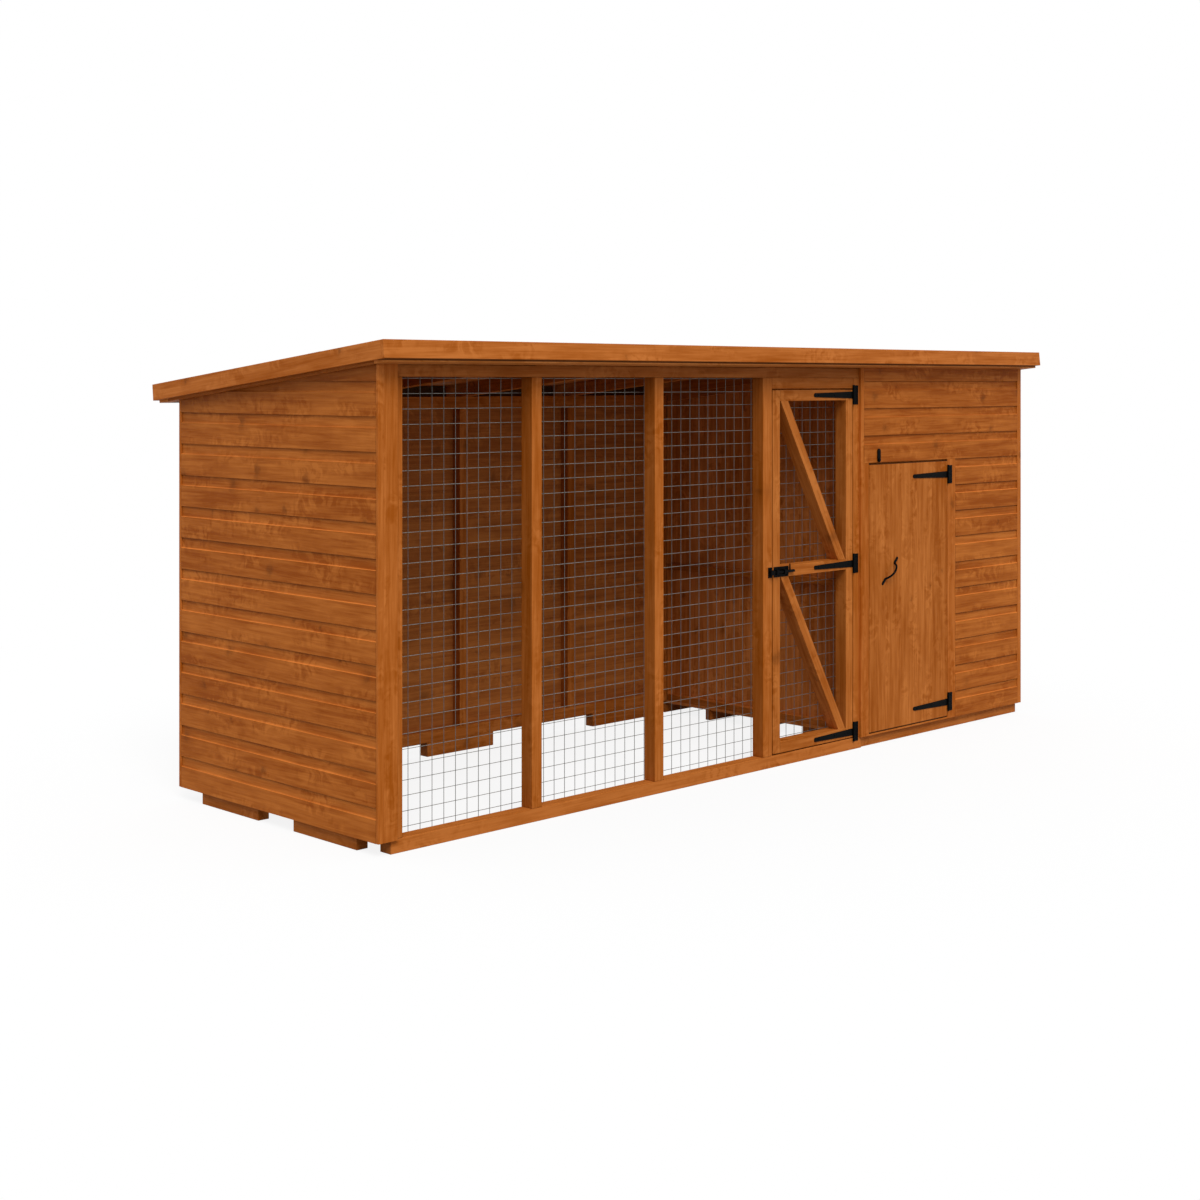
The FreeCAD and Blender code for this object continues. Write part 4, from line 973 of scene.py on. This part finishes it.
def turned_bolt():
    """A level stem with rounded ends and an upright lever with a domed tip, both by quarter circles."""
    low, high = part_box("bolt_rod")
    middle = (low[1] + high[1]) / 2
    axis_height = low[2] + STEM_RADIUS
    quarter = np.linspace(0, math.pi / 2, ROUND_STEPS)
    dome, rise = np.sin(quarter), 1 - np.cos(quarter)
    nose = NOSE_FLAT + (1 - NOSE_FLAT) * dome
    tail = TAIL_FLAT + (1 - TAIL_FLAT) * dome[::-1]
    stem_at = np.concatenate([NOSE_LENGTH * rise, high[0] - low[0] - TAIL_LENGTH * rise[::-1]])
    stem_radius = STEM_RADIUS * np.concatenate([nose, tail])
    stem_radius[[0, -1]] = 0
    lever_at = np.concatenate([[0, LEVER_ROOT_AT], high[2] - axis_height - LEVER_TIP * rise[::-1]])
    lever_radius = np.concatenate([[0, LEVER_ROOT], LEVER_RADIUS * dome[::-1]])
    lever_start = (high[0] - LEVER_FROM_END, middle, axis_height)
    stem, stem_faces = turned((low[0], middle, axis_height), (1, 0, 0), stem_at, stem_radius, STEM_AROUND)
    lever, lever_faces = turned(lever_start, (0, 0, 1), lever_at, lever_radius, LEVER_AROUND)
    moved_faces = [[corner + len(stem) for corner in face] for face in lever_faces]
    iron_piece("bolt_turned", np.concatenate([stem, lever]), stem_faces + moved_faces, "bolt_rod")


turned_bolt()

# %% [markdown]
# ## Screws
#
# Each screw has a domed head with a cross pressed into it. Cutting the cross with a Boolean would leave
# ragged faces on something so small. The head is a height over a disc: highest in the middle, falling with
# the square of the distance, less a four-armed dip. All screws of a node are made at once, and each cross
# is turned by the golden angle from the one before, as screws stop where they bite.

# %% Cross-head screws
HEAD_RADIUS, HEAD_HEIGHT = 0.0036, 0.0018
CROSS_REACH, CROSS_DEPTH = 0.0027, 0.0011
SHANK_RADIUS = 0.002
HEAD_RINGS = [0.0, 0.0008, 0.0016, 0.0023, 0.0029, 0.0034, HEAD_RADIUS, SHANK_RADIUS, SHANK_RADIUS]
SCREW_AROUND = 16
GOLDEN_ANGLE = 2.4


def cross_heads(node):
    """Rings of a dome with a dip along four arms, the flat under it and the shank, at every screw."""
    points, _, solid = boards_in(node)
    count = solid.max() + 1
    low, high = np.full((count, 3), np.inf), np.full((count, 3), -np.inf)
    np.minimum.at(low, solid, points)
    np.maximum.at(high, solid, points)
    radius = np.array(HEAD_RINGS)
    turn = full_turn(SCREW_AROUND)
    arms = np.maximum(0, np.cos(4 * turn))
    dip = CROSS_DEPTH * np.clip(1 - (radius / CROSS_REACH) ** 3, 0, 1)[:, None] * arms
    dip[0] = CROSS_DEPTH
    depth = HEAD_HEIGHT * (radius / HEAD_RADIUS)[:, None] ** 2 + dip
    depth[-3:-1] = HEAD_HEIGHT
    depth[-1] = (high[0] - low[0])[1]
    spin = turn + GOLDEN_ANGLE * np.arange(count)[:, None]
    reach = np.maximum(radius, POLE)[None, :, None]
    middle = (low + high) / 2
    x = middle[:, 0, None, None] + reach * np.cos(spin)[:, None]
    y = low[:, 1, None, None] + depth[None]
    z = middle[:, 2, None, None] + reach * np.sin(spin)[:, None]
    heads = np.stack(np.broadcast_arrays(x, y, z), axis=-1).reshape(-1, 3)
    iron_piece(f"{node}_cross", heads, joined_rings(len(radius), SCREW_AROUND, count), node)
    return count


print([cross_heads(node) for node in ("frame_screws", "run_door_screws", "kennel_door_screws")], "screws")

# %% [markdown]
# ## Roofing felt
#
# Felt is bitumen with pressed-in mineral grit, dark green-grey and rough. A picture of grit would blur
# close up. Here the grit is a fine cell pattern that lifts single grains lighter and darker, and slow
# clouds over it keep the roof from looking even.

# %% Mineral felt
GRIT_DARK, GRIT_PALE = (0.035, 0.042, 0.038, 1), (0.11, 0.125, 0.112, 1)
BITUMEN = (0.05, 0.055, 0.05, 1)
FELT_ROUGH = 0.92

felt, tree, shader = new_finish("mineral_felt")
grit = put(tree, "ShaderNodeTexVoronoi", Vector=place_on(tree), Scale=620.0)
drawn = put(tree, "ShaderNodeSeparateColor", Color=grit.outputs["Color"])
cloud = remap(tree, speckle(tree, scale=5.0, detail=4.0), 0.4, 0.7, 0.0, 0.5)
grains = blend_colour(tree, drawn.outputs[0], GRIT_DARK, GRIT_PALE)
tree.links.new(blend_colour(tree, cloud, grains, BITUMEN), shader.inputs["Base Color"])
shader.inputs["Roughness"].default_value = FELT_ROUGH
add_relief(tree, shader, strength=0.6, distance=0.0008, height=grit.outputs["Distance"])

# %% [markdown]
# ## Felt in two strips
#
# Felt comes in rolls a metre wide. The lower strip is laid first, along the back, and the upper one laps
# over it by 75 mm so that rain runs off. The upper strip therefore climbs by the felt's own thickness just
# before the lap. Each strip is a height over a grid on the slope, which a Solidify modifier thickens: a
# cloth simulation would settle no better on a flat deck.

# %% Slope of the roof
FALL, DEPTH = 0.1228, 1.168
PITCH = math.atan(FALL / DEPTH)
FELT = 0.002
ROLL, LAP = 1.0, 0.075
felt_low, felt_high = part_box("roof_felt")
DOWN = np.array([0.0, math.cos(PITCH), -math.sin(PITCH)])
UP = np.array([0.0, math.sin(PITCH), math.cos(PITCH)])
LENGTH = (felt_high[1] - felt_low[1] - FELT * UP[1]) / DOWN[1]
LAP_TOP, LAP_FOOT = LENGTH - ROLL, LENGTH - ROLL + LAP
FRONT_EDGE = np.array([0.0, felt_high[1] - FELT * UP[1], felt_low[2]]) - LENGTH * DOWN
print("slope", round(math.degrees(PITCH), 2), "degrees,", round(LENGTH, 3), "m long")


def on_roof(x, s, lift):
    """Points at x along the roof, s down the slope from the front edge and lift above the deck."""
    sideways = np.multiply.outer(x, [1.0, 0, 0])
    return FRONT_EDGE + sideways + np.multiply.outer(s, DOWN) + np.multiply.outer(lift, UP)


# %% Strips
RIPPLE = 0.0003
CLIMB_LENGTH = 0.03
CLIMB_LIFT = 1.1 * FELT
STRIP_THICKNESS = 0.9 * FELT
STEPS_ALONG, STEPS_DOWN = 160, 60


def felt_lift(x, s, upper):
    """Height of a strip's top: the felt, slow ripples, and for the upper strip a smooth climb."""
    ripple = RIPPLE * np.sin(9 * x + 2 * np.sin(5 * s)) * np.sin(14 * s + 0.8 * np.cos(3 * x)) - RIPPLE
    climb = np.clip((s - LAP_TOP + CLIMB_LENGTH) / CLIMB_LENGTH, 0, 1)
    return FELT + ripple + upper * CLIMB_LIFT * climb ** 2 * (3 - 2 * climb)


def felt_strip(name, begin, end, upper):
    """A grid over x and s at the strip's lift, thickened downwards by a Solidify modifier."""
    sideways = np.linspace(felt_low[0], felt_high[0], STEPS_ALONG + 1)
    x, s = np.meshgrid(sideways, np.linspace(begin, end, STEPS_DOWN + 1), indexing="ij")
    points = on_roof(x, s, felt_lift(x, s, upper)).reshape(-1, 3)
    row = STEPS_DOWN + 1
    here = np.arange(STEPS_ALONG)[:, None] * row + np.arange(STEPS_DOWN)
    quads = np.stack([here + 1, here + row + 1, here + row, here], axis=-1).reshape(-1, 4)
    mesh = bpy.data.meshes.new(name)
    mesh.from_pydata(points, [], quads)
    piece = as_piece(name, mesh, felt)
    thick = piece.modifiers.new("felt_thickness", "SOLIDIFY")
    thick.thickness = STRIP_THICKNESS
    thick.offset = -1
    settle(piece, "roof_felt")


felt_strip("felt_lower", LAP_TOP, LENGTH, upper=0)
felt_strip("felt_upper", 0.0, LAP_FOOT, upper=1)
print("strips of", ROLL, "m and", round(LAP_FOOT, 3), "m")

# %% [markdown]
# ## Clout nails
#
# Short galvanised nails with wide, slightly domed heads hold the felt along its edges and its lap. Only the
# heads show, so each is a dome of a few rings, seated on the felt.

# %% Clout nails
NAIL_MARGIN, SIDE_MARGIN = 0.02, 0.12
NAILS_ALONG, NAILS_DOWN = 38, 9
NAIL_AROUND = 8
NAIL_RINGS = np.array([0.0, 0.0022, 0.0038, 0.0042, 0.0])
NAIL_LIFTS = np.array([0.0011, 0.0008, 0.0004, -0.0008, -0.0008])

left_x, right_x = felt_low[0] + NAIL_MARGIN, felt_high[0] - NAIL_MARGIN
rows = [NAIL_MARGIN, LAP_FOOT - NAIL_MARGIN, LENGTH - NAIL_MARGIN]
down = np.linspace(SIDE_MARGIN, LENGTH - SIDE_MARGIN, NAILS_DOWN)
nail_x = np.concatenate([np.tile(np.linspace(left_x, right_x, NAILS_ALONG), len(rows)),
                         np.repeat([left_x, right_x], NAILS_DOWN)])
nail_s = np.concatenate([np.repeat(rows, NAILS_ALONG), down, down])
spread = np.maximum(NAIL_RINGS, POLE)[:, None]
x = nail_x[:, None, None] + spread * np.cos(full_turn(NAIL_AROUND))
s = nail_s[:, None, None] + spread * np.sin(full_turn(NAIL_AROUND))
seat = felt_lift(nail_x, nail_s, nail_s < LAP_FOOT)[:, None, None]
nails = on_roof(x, s, seat + NAIL_LIFTS[:, None] + 0 * x).reshape(-1, 3)
nail_faces = joined_rings(len(NAIL_RINGS), NAIL_AROUND, len(nail_x))
nail_mesh = bpy.data.meshes.new("clout_nails")
nail_mesh.from_pydata(nails, [], [face[::-1] for face in nail_faces])
clouts = as_piece("clout_nails", nail_mesh, galvanised)
settle(clouts, "roof_felt")
print(len(nail_x), "nails")

# %% [markdown]
# ## Sizes
#
# Dressing must not change the part's size, so the box after dressing is set against the box before, and the
# growth is printed.

# %% Sizes and finish
new_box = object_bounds()
grown = (new_box[1] - new_box[0]) - (cad_box[1] - cad_box[0])
print("grown by", [round(side * 1000, 2) for side in grown], "mm")
